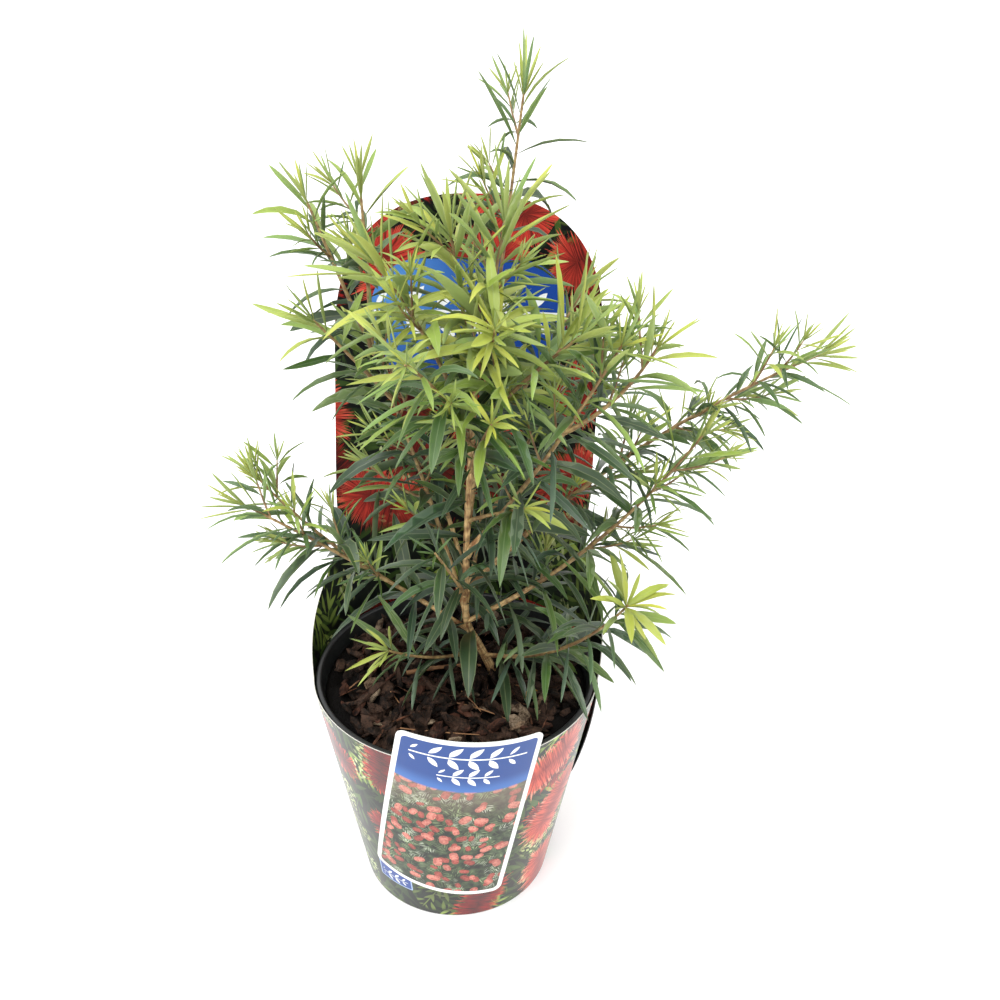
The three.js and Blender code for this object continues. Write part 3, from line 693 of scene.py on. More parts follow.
def garden_print(nodes, place, size, bed, above=None):
    """A printed bed of leafy twigs with brush flowers, in sun and shade. size scales all of its parts.

    above, if given, is the height over which flowers appear."""
    seed = bed.seed
    colour = place.noise(45.0 / size, 3).ease(0.35, 0.75).blend(*map(linear, bed.ground))
    for index, layer in enumerate(bed.twigs):
        twig = nodes.placed(
            leafy_twigs(), vector=place, patch=layer.patch * size, length=layer.length * size,
            width=layer.width * size, lean=0.55, seed=(seed + index * 3.7, seed * 1.3 + index, 0.0))
        ribbed = (twig["Rib"] * 0.3).blend(twig["Shade"].blend(layer.dark, layer.light), layer.light)
        colour = (twig["Mask"] * twig["Choice"].above(layer.sparse)).blend(colour, ribbed)
    clouds = place.noise(22.0 / size, 2)
    colour = colour.scaled(clouds.ease(0.3, 0.7, 0.35, 1.25))
    for index, layer in enumerate(bed.brushes):
        flower = nodes.placed(
            brush_flowers(), vector=place, seed=(seed * 2.1 + index * 5.3, seed + index * 1.9, 0.0),
            **layer._replace(spacing=layer.spacing * size, radius=layer.radius * size)._asdict())
        mask = flower["Mask"]
        if above:
            mask = mask * place.split()[1].ease(above, above + 0.02)
        colour = mask.blend(colour, flower["Colour"].scaled(clouds.ease(0.3, 0.7, 0.75, 1.1)))
    return colour


def printed_card(name, compose, roughness, varnish, gloss):
    """Varnished printed card: its picture, and a faint wave in the varnish."""
    nodes = material_nodes(name)
    place = nodes.place()
    wave = place.noise(35.0, 2)
    height = place.noise(900.0, 2).times(0.04, wave)
    return nodes.finish(compose(nodes, nodes.printed()), (wave - 0.5).times(0.12, roughness),
                        height.bump(0.25, 0.0004), Coat_Weight=varnish, Coat_Roughness=0.14,
                        Specular_IOR_Level=gloss)


def plate_at(nodes, place, half, corner):
    """The signed distance of a rounded plate, half its size in millimetres."""
    return nodes.placed(rounded_plate(), vector=place, corner=corner,
                        half_size=(half[0] * MM, half[1] * MM, 0.0))["Distance"]


def sprig_at(nodes, place, pitch, half):
    """The mask of a sprig ornament."""
    return nodes.placed(leaf_sprig(), vector=place, pitch=pitch, half_length=half)["Mask"]


def from_centre(place, centre):
    """Places measured from a centre, which is given in millimetres."""
    return place.vector("SUBTRACT", (centre[0] * MM, centre[1] * MM, 0.0))


def sleeve_twigs(settings):
    """The five layers of twigs printed on the sleeve, from the darkest at the back."""
    green, fresh = settings.leaf_green[:], settings.leaf_fresh[:]
    return [
        TwigLayer(0.024, 0.0052, 0.040, 0.0, linear("0B130C"), linear("2C4022")),
        TwigLayer(0.022, 0.0042, 0.036, 0.2, linear("172412"), green),
        TwigLayer(0.018, 0.0036, 0.032, 0.45, linear("2A3A1C"), green),
        TwigLayer(0.015, 0.0030, 0.026, 0.6, green, fresh),
        TwigLayer(0.0042, 0.0024, 0.018, 0.82, fresh, linear("C6CB98")),
    ]


def outside_print(settings):
    """The print on the sleeve's outside, with a small blue tag."""
    deep, bright = settings.bloom_deep[:], settings.bloom_bright[:]
    bed = Print(sleeve_twigs(settings), [
        BrushLayer(0.052, 0.013, 0.8, 26.0, 1.0, 0.45, linear("3A0C0A"), deep, bright),
        BrushLayer(0.066, 0.017, 0.7, 40.0, 1.0, 0.35, deep, linear("DE5B43"), settings.bloom_tips[:]),
    ], ("0A0F0B", "1D2619"), SLEEVE_SEED)

    def compose(nodes, place):
        garden = garden_print(nodes, place, 1.0, bed)
        level = from_centre(place, TAG_CENTRE).turned(TAG_TILT)
        away = plate_at(nodes, level, TAG_HALF, 0.0012)
        edged = away.ease(0.0001, -0.0001).blend(garden, linear("9FB4D8"))
        sprig = sprig_at(nodes, level.vector("ADD", (0.0, 0.0045, 0.0)), 0.0055, 0.0095)
        blue = sprig.blend(settings.label_blue[:], linear(ORNAMENT_WHITE))
        return away.ease(-0.0008, -0.001).blend(edged, blue)

    return printed_card("sleeve_print", compose, settings.gloss_roughness + 0.06, 0.48, 0.3)


def panel_print(settings):
    """The darker print on the back panel, with a large blue plate."""
    bed = Print([layer._replace(dark=shaded(layer.dark, 0.55), light=shaded(layer.light, 0.6))
                 for layer in sleeve_twigs(settings)], [
        BrushLayer(0.056, 0.016, 0.7, 34.0, 1.0, 0.3, linear("1C0708"), linear("6E2018"),
                   settings.bloom_deep[:]),
        BrushLayer(0.066, 0.022, 0.4, 50.0, 1.0, 0.25, linear("4E1412"), linear("BE3A2E"), linear("CF5642")),
    ], ("050708", "11160F"), PANEL_SEED)

    def compose(nodes, place):
        garden = garden_print(nodes, place, 1.0, bed, above=0.19)
        local = from_centre(place, PANEL_PLATE)
        away = plate_at(nodes, local, PANEL_PLATE[2:], 0.03)
        across, up, _ = local.split()
        glow = nodes.join(across + 0.045, up - 0.015).size().ease(0.0, 0.06)
        blue = glow.blend(linear("4F86C8"), settings.label_blue[:])
        sprig = sprig_at(nodes, local.vector("ADD", (0.0, -0.004, 0.0)), 0.02, 0.062)
        return away.ease(0.0002, -0.0002).blend(garden, sprig.blend(blue, linear(ORNAMENT_WHITE)))

    return printed_card("panel_print", compose, settings.gloss_roughness + 0.1, 0.0, 0.12)


def label_print(settings, sleeve):
    """The label: a white border, a blue band with a sagging edge and sprigs, and a bed of blooms."""
    coral, pale = settings.bloom[:], settings.bloom_light[:]
    bed = Print([
        TwigLayer(0.036, 0.0056, 0.07, 0.0, linear("1B2A16"), linear("53673E")),
        TwigLayer(0.030, 0.0044, 0.06, 0.3, linear("2E4226"), linear("8C9E70")),
        TwigLayer(0.024, 0.0036, 0.05, 0.6, linear("44583A"), linear("C3C9B4")),
    ], [
        BrushLayer(0.041, 0.0125, 0.5, 3.0, 0.14, 0.4, coral, linear("7E3028"), coral),
        BrushLayer(0.046, 0.0145, 0.45, 3.0, 0.14, 0.35, pale, coral, pale),
    ], ("141E12", "4A5A3C"), LABEL_SEED)

    def compose(nodes, place):
        picture = garden_print(nodes, place, 0.2, bed)
        x, y, _ = place.split()
        across = x / (LABEL_WIDTH / 2 * MM)
        picture = y.ease(-0.004, BAND_EDGE * MM, 0.0, 0.2).blend(picture, linear("CDB3A2"))
        over = y - (across * across).times(BAND_SAG * MM, BAND_EDGE * MM)
        blue = over.ease(0.012, 0.0).blend(settings.band_dark[:], settings.band_light[:])
        first, second = [sprig_at(nodes, from_centre(place, centre), pitch * MM, reach * MM)
                         for centre, reach, pitch in LABEL_SPRIGS]
        marked = first.most(second).blend(blue, linear("F4F5F3"))
        half = [side / 2 - LABEL_BORDER for side in (LABEL_WIDTH, LABEL_HEIGHT)]
        away = plate_at(nodes, place, half, 0.003)
        inner = over.ease(-0.001, 0.001).blend(picture, marked)
        return away.ease(0.00015, -0.00015).blend(settings.border[:], inner)

    return printed_card("label_print", compose, sleeve.gloss_roughness, 0.25, 0.35)


def plain_card(name, colour, roughness=0.55):
    """Unprinted card with a faint grain."""
    return mottled_material(name, 300.0, 0.5, 0.5, shaded(colour, 0.86), colour, roughness, (0.2, 0.0002))


def sleeve_radius(z):
    """The radius of the sleeve's cone at a height."""
    return SLEEVE_BASE_RADIUS + FLARE * z


def on_ring(radius, angle, z):
    """Points round Z. Angles are measured from the front."""
    return np.stack([radius * np.sin(angle), -radius * np.cos(angle), z], -1)


def sheet_side(z):
    """Half the back sheet's width along the card, before the arch rounds it off."""
    at_rim = math.radians(SHEET_START_ANGLE) * SLEEVE_TOP_RADIUS
    t = np.clip((z - SLEEVE_HEIGHT) / (PANEL_FULL_NARROW - SLEEVE_HEIGHT), 0, 1)
    return mix(at_rim, PANEL_HALF_WIDTH, np.sin(t * math.pi / 2))


def sheet_point(s, out, z):
    """Points of the back sheet: s along the card from its middle, out from its outer face."""
    radius = sleeve_radius(z) + out
    angle = s / sleeve_radius(z)
    flat = smooth(SLEEVE_HEIGHT, PANEL_FULL_FLAT, z)
    bowed = radius - PANEL_BOW * (s / PANEL_HALF_WIDTH) ** 2
    x = mix(radius * np.sin(angle), s, flat) + PANEL_DRIFT * np.maximum(0, z - PANEL_FULL_NARROW)
    return np.stack([x, mix(radius * np.cos(angle), bowed, flat), z], -1)


def arch_top(u):
    """How high the sheet reaches at a fraction of its half width."""
    low = PANEL_TOP - PANEL_ARCH_HEIGHT
    return low + PANEL_ARCH_HEIGHT * (1 - np.abs(u) ** PANEL_ARCH_POWER) ** (1 / PANEL_ARCH_POWER)


def unrolled(angle, z):
    """Where a point of the cone lies when the sleeve is cut open and laid flat."""
    slant = sleeve_radius(z) / CONE
    return np.stack([slant * np.sin(angle * CONE), slant * np.cos(angle * CONE)], -1)


def on_cone(x, y, out):
    """A point of the label, laid flat on the unrolled sleeve, rolled up with it."""
    tilt = math.radians(LABEL_TILT)
    flat_x = LABEL_SIDE + x * math.cos(tilt) + y * math.sin(tilt)
    flat_y = LABEL_SLANT - x * math.sin(tilt) + y * math.cos(tilt)
    slant = np.hypot(flat_x, flat_y)
    angle = np.arctan2(flat_x, flat_y) / CONE
    return on_ring(slant * CONE + out, angle, (slant * CONE - SLEEVE_BASE_RADIUS) / FLARE)


class CardMesh:
    """Gathers the two faces and the cut edges of a piece of card."""

    def __init__(self):
        self.points, self.faces, self.kinds, self.corners = [], [], [], []

    def put(self, points):
        """Adds a table of points and gives the table of their numbers."""
        first = sum(len(p) for p in self.points)
        self.points.append(points.reshape(-1, 3))
        return first + np.arange(len(self.points[-1])).reshape(points.shape[:2])

    def lay(self, ids, kind, flat=None, closed=False):
        """Adds the faces between points. flat is a table of where they lie on the print."""
        made = grid_faces(ids, closed)
        self.faces += made
        self.kinds += [kind] * len(made)
        if flat is None:
            self.corners.append(np.zeros((4 * len(made), 2)))
        else:
            table = np.arange(flat.shape[0] * flat.shape[1]).reshape(flat.shape[:2])
            self.corners.append(flat.reshape(-1, 2)[grid_faces(table)].reshape(-1, 2))

    def sheet(self, place, outer, inner=None):
        """Both faces of a four-sided card and its rim. place gives its points at a height over the
        sleeve, and outer and inner where each face lies on the print."""
        tables = []
        for kind, out, flat in ((0, CARD_GAP + CARD, outer), (1, CARD_GAP, inner)):
            tables.append(self.put(place(out)))
            self.lay(tables[-1], kind, flat)
        self.lay(np.stack([np.concatenate([t[0, :-1], t[:-1, -1], t[-1, :0:-1], t[:0:-1, 0], t[0, :1]])
                           for t in tables]), 1)

    def finish(self, name, materials):
        piece = make_piece(name, np.concatenate(self.points), self.faces, materials, self.kinds)
        set_uv(piece, "print", np.concatenate(self.corners))
        face_outwards(piece)
        sharpen(piece, CARD_SHARP)
        return piece


def sleeve_piece(materials):
    """The wrap and the back panel as one closed sheet of card: outer face, inner face and cut edges."""
    start = math.radians(180 - SHEET_START_ANGLE)
    front = np.linspace(start, -start, WRAP_GRID[0])
    w = np.linspace(-1, 1, PANEL_GRID[0])
    across = mix(w, np.sin(w * math.pi / 2), 0.75)
    angles = np.concatenate([front[:-1], -(math.pi + across * math.radians(SHEET_START_ANGLE))])
    heights = np.linspace(SLEEVE_LIFT, SLEEVE_HEIGHT, WRAP_GRID[1])
    theta, z = np.meshgrid(angles[:-1], heights)
    u, v = np.meshgrid(across, np.linspace(0, 1, PANEL_GRID[1]))
    panel_z = SLEEVE_HEIGHT + (arch_top(u) - SLEEVE_HEIGHT) * v
    s = u * sheet_side(panel_z)
    card, sides = CardMesh(), []
    for out in (0.0, -CARD):
        wrap = card.put(on_ring(sleeve_radius(z) + out, theta, z))
        rest = card.put(sheet_point(s[1:], out, panel_z[1:]))
        sides.append((wrap, np.vstack([np.append(wrap[-1, len(front) - 1:], wrap[-1, 0]), rest])))
    wrap_flat = unrolled(*np.meshgrid(angles, heights))
    panel_flat = (unrolled(-(math.pi + s / sleeve_radius(panel_z)), panel_z), np.stack([s, panel_z], -1))
    for kind, (wrap, panel) in enumerate(sides):
        card.lay(wrap, kind, wrap_flat, closed=True)
        card.lay(panel, kind, panel_flat[kind])
    edges = [(np.append(wrap[0], wrap[0, 0]), wrap[-1, :len(front)], panel[-1], panel[:, 0], panel[:, -1])
             for wrap, panel in sides]
    for pair in zip(*edges):
        card.lay(np.stack(pair), 2)
    return card.finish("card_sleeve", materials)


def label_piece(materials):
    """The front label: a stiff card with rounded corners that follows the cone and stands above its rim."""
    x, y = np.meshgrid(np.linspace(-0.5, 0.5, LABEL_GRID[0]), np.linspace(-1, 1, LABEL_GRID[1]))
    high = LABEL_HEIGHT / 2 * np.sin(y * math.pi / 2)
    into_corner = np.maximum(0, np.abs(high) - (LABEL_HEIGHT / 2 - LABEL_CORNER))
    trim = LABEL_CORNER - np.sqrt(np.maximum(0, LABEL_CORNER ** 2 - into_corner ** 2))
    wide = x * (LABEL_WIDTH - 2 * trim)
    flat = np.stack([wide, high], -1)
    card = CardMesh()
    card.sheet(lambda out: on_cone(wide, high, out), flat, flat)
    return card.finish("front_label_card", materials)


def lap_piece(materials):
    """The sleeve's glued lap at the right, whose free edge springs away from the pot. Its outer face
    carries on the front's print."""
    across, up = np.meshgrid(np.linspace(0, 1, LAP_GRID[0]), np.linspace(0, 1, LAP_GRID[1]))
    angle = np.radians(mix(LAP_TO, LAP_FROM, across))
    z = mix(LAP_BOTTOM, LAP_TOP, up)
    spring = LAP_SPRING * across ** 2 * np.sin(up * math.pi) ** 0.7
    card = CardMesh()
    card.sheet(lambda out: on_ring(sleeve_radius(z) + out + spring, angle, z), unrolled(angle, z))
    return card.finish("sleeve_lap_strip", materials)


# ---------------------------------------------------------------- pot and mulch
def pot_wall_radius(z):
    """The radius of the pot's outer wall at a height, below its rim band."""
    return sleeve_radius(z) - POT_CLEARANCE - POT_RIM_STANDS_OUT


def arc(centre, radius, start, end, steps=6):
    """Points on a circle from one angle in degrees to another."""
    angles = np.radians(np.linspace(start, end, steps))
    return [(centre[0] + radius * math.cos(a), centre[1] + radius * math.sin(a)) for a in angles]


def lathe(profile, segments):
    """A closed profile of (radius, height), whose ends lie on the axis, turned round Z."""
    inner = np.array(profile[1:-1])
    angles = np.linspace(0, 2 * math.pi, segments, endpoint=False)
    rings = np.stack([np.outer(inner[:, 0], np.cos(angles)), np.outer(inner[:, 0], np.sin(angles)),
                      np.repeat(inner[:, 1:], segments, 1)], -1)
    ids = np.arange(rings.shape[0] * segments).reshape(-1, segments)
    points = rings.reshape(-1, 3).tolist() + [(0, 0, profile[0][1]), (0, 0, profile[-1][1])]
    faces = grid_faces(ids, closed=True)
    for ring, pole in ((ids[0], len(points) - 2), (ids[-1], len(points) - 1)):
        faces.extend([int(a), int(b), pole] for a, b in zip(ring, np.roll(ring, -1)))
    return points, faces


def pot_piece(settings, material):
    """The thin-walled pot with its rim band, its rolled lip and its drain holes."""
    band_from = POT_HEIGHT - POT_RIM_BAND
    outer = sleeve_radius(POT_HEIGHT) - POT_CLEARANCE
    inner = pot_wall_radius(POT_HEIGHT) - POT_WALL
    foot = pot_wall_radius(0)
    profile = [(0, 0), (foot - POT_FOOT_CHAMFER, 0)]
    profile += arc((foot - POT_FOOT_CHAMFER, POT_FOOT_CHAMFER), POT_FOOT_CHAMFER, -70, 0)
    profile += [(pot_wall_radius(band_from - 1), band_from - 1), (pot_wall_radius(band_from), band_from)]
    profile += [(sleeve_radius(band_from + 1) - POT_CLEARANCE, band_from + 1)]
    profile += arc((outer - POT_LIP, POT_HEIGHT - POT_LIP), POT_LIP, 0, 90)
    profile += arc((inner + POT_LIP, POT_HEIGHT - POT_LIP), POT_LIP, 90, 180)
    profile += [(pot_wall_radius(z) - POT_WALL, z) for z in np.linspace(POT_HEIGHT - 4, POT_FLOOR, 9)]
    profile += [(0, POT_FLOOR)]
    points, faces = lathe(profile, settings.segments)
    pot = make_piece("nursery_pot", points, faces, [material])
    face_outwards(pot)
    drills = bmesh.new()
    for i in range(DRAIN_HOLES):
        angle = (i + 0.5) * 2 * math.pi / DRAIN_HOLES
        middle = Vector((DRAIN_RING * math.cos(angle), DRAIN_RING * math.sin(angle), 0)) * MM
        bmesh.ops.create_cone(drills, segments=24, radius1=DRAIN_RADIUS * MM, radius2=DRAIN_RADIUS * MM,
                              depth=POT_FLOOR * 4 * MM, cap_ends=True, matrix=Matrix.Translation(middle))
    mesh = bpy.data.meshes.new("drills")
    drills.to_mesh(mesh)
    drills.free()
    tool = linked("drills", mesh)
    cut = pot.modifiers.new("drains", "BOOLEAN")
    cut.object = tool
    cut.operation = "DIFFERENCE"
    baked(pot, cut)
    bpy.data.objects.remove(tool)
    sharpen(pot, POT_SHARP)
    return pot


def soil_height(x, y):
    """The mulch's low lumps, which die out at the pot's wall and round the trunk's foot."""
    from_trunk = np.hypot(x - TRUNK_PATH[0][0], y - TRUNK_PATH[0][1])
    from_wall = pot_wall_radius(SOIL_LEVEL) - POT_WALL - np.hypot(x, y)
    calm = smooth(14, 30, from_trunk) * smooth(0, 12, from_wall)
    waves = np.sin(x * 0.21 + 1.3) * np.cos(y * 0.19) + np.sin((x + y) * 0.37) * 0.6
    return SOIL_LEVEL + SOIL_LUMP * waves * calm


def soil_bed(material, reach, name, closed=True):
    """The bed under the chips, as a closed solid or as the bare surface that they are scattered on."""
    profile = [(0, SOIL_LEVEL)] + [(reach * r, SOIL_LEVEL) for r in np.linspace(0.02, 1, SOIL_RINGS)]
    if closed:
        low = POT_FLOOR + CARD_GAP
        profile += [(pot_wall_radius(low) - POT_WALL - CARD_GAP, low), (0, low)]
    else:
        profile += [(reach, SOIL_LEVEL)]
    points, faces = lathe(profile, SOIL_SEGMENTS)
    points = np.array(points, float)
    top = points[:, 2] > POT_FLOOR + 1
    points[top, 2] = soil_height(points[top, 0], points[top, 1])
    if not closed:
        faces = [f for f in faces if len(points) - 1 not in f]
    return make_piece(name, points, faces, [material])


def chip_templates(kind, count, seed):
    """Small angular pieces of bark, or thin splinters, to be scattered. Unit length along X."""
    draw = np.random.default_rng(seed)
    made = []
    for index in range(count):
        wide = draw.uniform(*CHIP_WIDTHS[kind])
        thick = wide * 0.7 if kind == "splinter" else draw.uniform(0.1, 0.22)
        angles = np.linspace(0, 2 * math.pi, CHIP_SIDES, endpoint=False)
        angles = angles + draw.uniform(-0.3, 0.3, CHIP_SIDES)
        radius = draw.uniform(0.72, 1.15, CHIP_SIDES)
        ring = np.stack([np.cos(angles) * radius * 0.5, np.sin(angles) * radius * wide / 2], -1)
        layers = []
        for height, shrink in CHIP_LAYERS:
            layer = np.column_stack([ring * shrink, np.full(CHIP_SIDES, height * thick)])
            layer += draw.normal(0, 0.035, layer.shape) * [1, wide, thick * 1.6]
            layer[:, 2] += 0.25 * thick * np.cos(layer[:, 0] * 4)
            layers.append(layer)
        ids = np.arange(len(CHIP_LAYERS) * CHIP_SIDES).reshape(-1, CHIP_SIDES)
        faces = grid_faces(ids, closed=True) + [ids[0, ::-1].tolist(), ids[-1].tolist()]
        points = np.concatenate(layers) / MM
        made.append(make_piece(f"{kind}_{index}", points, faces, [], smooth_shaded=False))
    return made


def painted(nodes, geometry, material):
    """The end of a geometry tree: real faces in their material."""
    real = nodes.add("GeometryNodeRealizeInstances", geometry)
    return nodes.add("GeometryNodeSetMaterial", named={"Geometry": real, "Material": material})


@node_group("scatter_on_bed", {"Geometry": "Geometry"}, "Geometry", geometry="Geometry", pieces="Collection",
            density="Float", seed="Int", smallest="Float", largest="Float", tilt="Float", lift="Float",
            material="Material")
def scatter_on_bed(nodes, bed, pieces, density, seed, smallest, largest, tilt, lift, material):
    """Scatters the objects of a collection over a surface."""
    def random(low, high, salt, kind="FLOAT"):
        first, out = (0, 0) if kind == "FLOAT_VECTOR" else (2, 1)
        return nodes.add("FunctionNodeRandomValue", out=out, data_type=kind,
                         named={first: low, first + 1: high, "Seed": seed + float(salt)})

    spread = nodes.add("GeometryNodeDistributePointsOnFaces", named={
        "Mesh": bed, "Density": density, "Seed": seed})
    lifted = nodes.add("GeometryNodeSetPosition", named={
        "Geometry": spread, "Offset": nodes.join(0.0, 0.0, random(0.0, lift, 1))})
    chosen = nodes.add("GeometryNodeCollectionInfo", named={
        "Collection": pieces, "Separate Children": True, "Reset Children": True})
    turn = random(nodes.join(tilt * -1.0, tilt * -1.0), nodes.join(tilt, tilt, 2 * math.pi), 2,
                  "FLOAT_VECTOR")
    stood = nodes.add("GeometryNodeInstanceOnPoints", named={
        "Points": lifted, "Instance": chosen, "Pick Instance": True, "Rotation": turn,
        "Scale": random(smallest, largest, 3)})
    return (painted(nodes, stood, material),)


def run_tree(piece, tree, **values):
    """Runs a geometry tree on a piece, which becomes the plain mesh that comes out."""
    places = {s.name: s.identifier for s in tree.interface.items_tree if s.in_out == "INPUT"}
    modifier = piece.modifiers.new(tree.name, "NODES")
    modifier.node_group = tree
    for key, value in values.items():
        modifier[places[titled(key)]] = value
    return baked(piece, modifier)


def scattered(name, templates, material, **values):
    """One plain mesh of templates scattered over the bed."""
    bed = soil_bed(material, pot_wall_radius(SOIL_LEVEL) - POT_WALL - CHIPS_INSET, name, closed=False)
    hold = bpy.data.collections.new(name + "_pieces")
    for template in templates:
        hold.objects.link(template)
    run_tree(bed, scatter_on_bed(), pieces=hold, material=material, **values)
    bed.data.polygons.foreach_set("use_smooth", np.zeros(len(bed.data.polygons), bool))
    bpy.data.collections.remove(hold)
    for template in templates:
        bpy.data.objects.remove(template)
    return bed


# What else lies on the mulch: worn chips as place (X, Y), length, turn in degrees; straws as two ends;
# a fallen stick; a dry curled leaf.
WORN_CHIPS = ((66, 12, 16, 20), (52, -27, 17, 75), (39, -47, 15, 20), (-10, -31, 10, 60), (-52, -12, 11, 40))
WORN_CHIP_LIFT = 5.5
WORN_CHIP_TILT = 0.3
STRAWS = ((-66, -18, -50, 2), (-48, -4, -30, -34), (-10, -24, 34, -44), (4, -16, 16, -36), (30, -8, 56, -22),
          (-30, -50, 16, -56))
STICK = (-31, 1, 15, 8)
STRAW_RADIUS = 0.45
STICK_RADIUS = 1.5
# How high the root and the tip of a straw lie above the soil's level, and a dry leaf.
STRAW_LIFTS = (4.5, 6.0)
DRY_LEAF = (43, -26)
DRY_LEAF_LIFT = 5.0


def worn_chip(template, x, y, size, turn):
    """The points of one large pale chip that lies on the mulch."""
    points = np.array([v.co for v in template.data.vertices]) * size
    flat = [turned(p, np.array([0, 0, 1.0]), math.radians(turn)) for p in points]
    tilted = [turned(p, np.array([1.0, 0, 0]), WORN_CHIP_TILT) for p in flat]
    return np.array(tilted) + [x, y, soil_height(x, y) + WORN_CHIP_LIFT]


def chip_material(name, dark, light):
    """Bark chips: fibres and pits, darker in the hollows."""
    nodes = material_nodes(name)
    place = nodes.place()
    fibres = place.vector("MULTIPLY", (1.0, 0.3, 1.6)).noise(900.0, 4, 0.7)
    share = (place.noise(95.0, 2) - 0.5).times(1.2, fibres).ease(0.3, 0.75)
    return nodes.finish(share.blend(dark, light), fibres.ease(0.3, 0.7, 0.42, 0.85),
                        fibres.bump(0.7, 0.0007), Specular_IOR_Level=0.1)


# ---------------------------------------------------------------- growth
Frame = namedtuple("Frame", "point tangent side other")
Leaf = namedtuple("Leaf", "point start end across length width tone roll twist fold")
Stem = namedtuple("Stem", "curve length radius scars")


def direction(heading, rise):
    """The direction with a heading round Z from +X and a rise above level, in degrees."""
    flat = math.cos(math.radians(rise))
    return np.array([math.cos(math.radians(heading)) * flat, math.sin(math.radians(heading)) * flat,
                     math.sin(math.radians(rise))])


def catmull_rom(path):
    """A curve through points, with tangents of half the chord between a point's neighbours."""
    points = np.array(path, float)
    ends = np.vstack([2 * points[0] - points[1], points, 2 * points[-1] - points[-2]])

    def at(t):
        place = t * (len(points) - 1)
        i = min(int(place), len(points) - 2)
        f = place - i
        before, a, b, after = ends[i:i + 4]
        into, outof = (b - before) / 2, (after - a) / 2
        return a + f * (into + f * (-3 * a + 3 * b - 2 * into - outof + f * (2 * a - 2 * b + into + outof)))

    return at


def quadratic(root, bend, tip):
    """A bent curve from root to tip."""
    return lambda t: (1 - t) ** 2 * root + 2 * t * (1 - t) * bend + t * t * tip


def tangent(curve, t):
    """The direction of a curve at a fraction of its length."""
    return unit(curve(min(1.0, t + 1e-4)) - curve(max(0.0, t - 1e-4)))


def frames_along(curve, fractions):
    """Frames that follow a curve without twisting."""
    frames = []
    side = np.array([1.0, 0.0, 0.0])
    for t in fractions:
        along = tangent(curve, t)
        if not frames and abs(along[0]) > 0.8:
            side = np.array([0.0, 1.0, 0.0])
        side = unit(side - along * (along @ side))
        frames.append(Frame(curve(t), along, side, np.cross(along, side)))
    return frames


TRUNK = catmull_rom(TRUNK_PATH)


def trunk_fraction(height):
    """How far up its curve the trunk reaches a height above the soil."""
    low, high = 0.0, 1.0
    for _ in range(40):
        middle = (low + high) / 2
        if TRUNK(middle)[2] < SOIL_LEVEL + height:
            low = middle
        else:
            high = middle
    return low


def trunk_radius(t):
    """The trunk's radius with its root flare."""
    height = TRUNK(t)[2] - TRUNK_PATH[0][2]
    flare = ROOT_FLARE * math.exp(-height / ROOT_FLARE_HEIGHT * 2)
    return mix(TRUNK_FOOT_RADIUS, TRUNK_TOP_RADIUS, t ** 0.8) + flare


class Shoot:
    """A bent stem that leaves its parent at a named place."""

    def __init__(self, name, row, grown):
        (self.parent, at, self.length, heading, swing, rise, lift,
         self.bare, self.leaf, self.sprigs, self.star) = row
        self.name = name
        root = TRUNK(trunk_fraction(at)) if self.parent == "trunk" else grown[self.parent].curve(at)
        bend = root + direction(heading, rise) * self.length / 2
        tip = bend + direction(heading + swing, rise + lift) * self.length / 2
        self.curve = quadratic(root, bend, tip)
        self.ageing = AGEING.get(name, 1)
        high = self.length < SHORT_SHOOT and root[2] > SOIL_LEVEL + CROWN_HEIGHT
        inner = self.parent == "trunk" and self.length < SHORT_SHOOT
        self.slimness = SLIMNESS.get(name, CROWN_SLIMNESS if inner else MATURE.slimness)
        outer = self.length > SHORT_SHOOT or self.parent != "trunk"
        self.fresh = FRESHNESS.get(name, 0.74 if high and inner else OUTER_FRESH if outer else 0)
        self.scars = []

    def radius(self, t):
        return mix(BOUGH_RADIUS + self.length * BOUGH_RADIUS_PER_LENGTH, SHOOT_TIP_RADIUS, t)


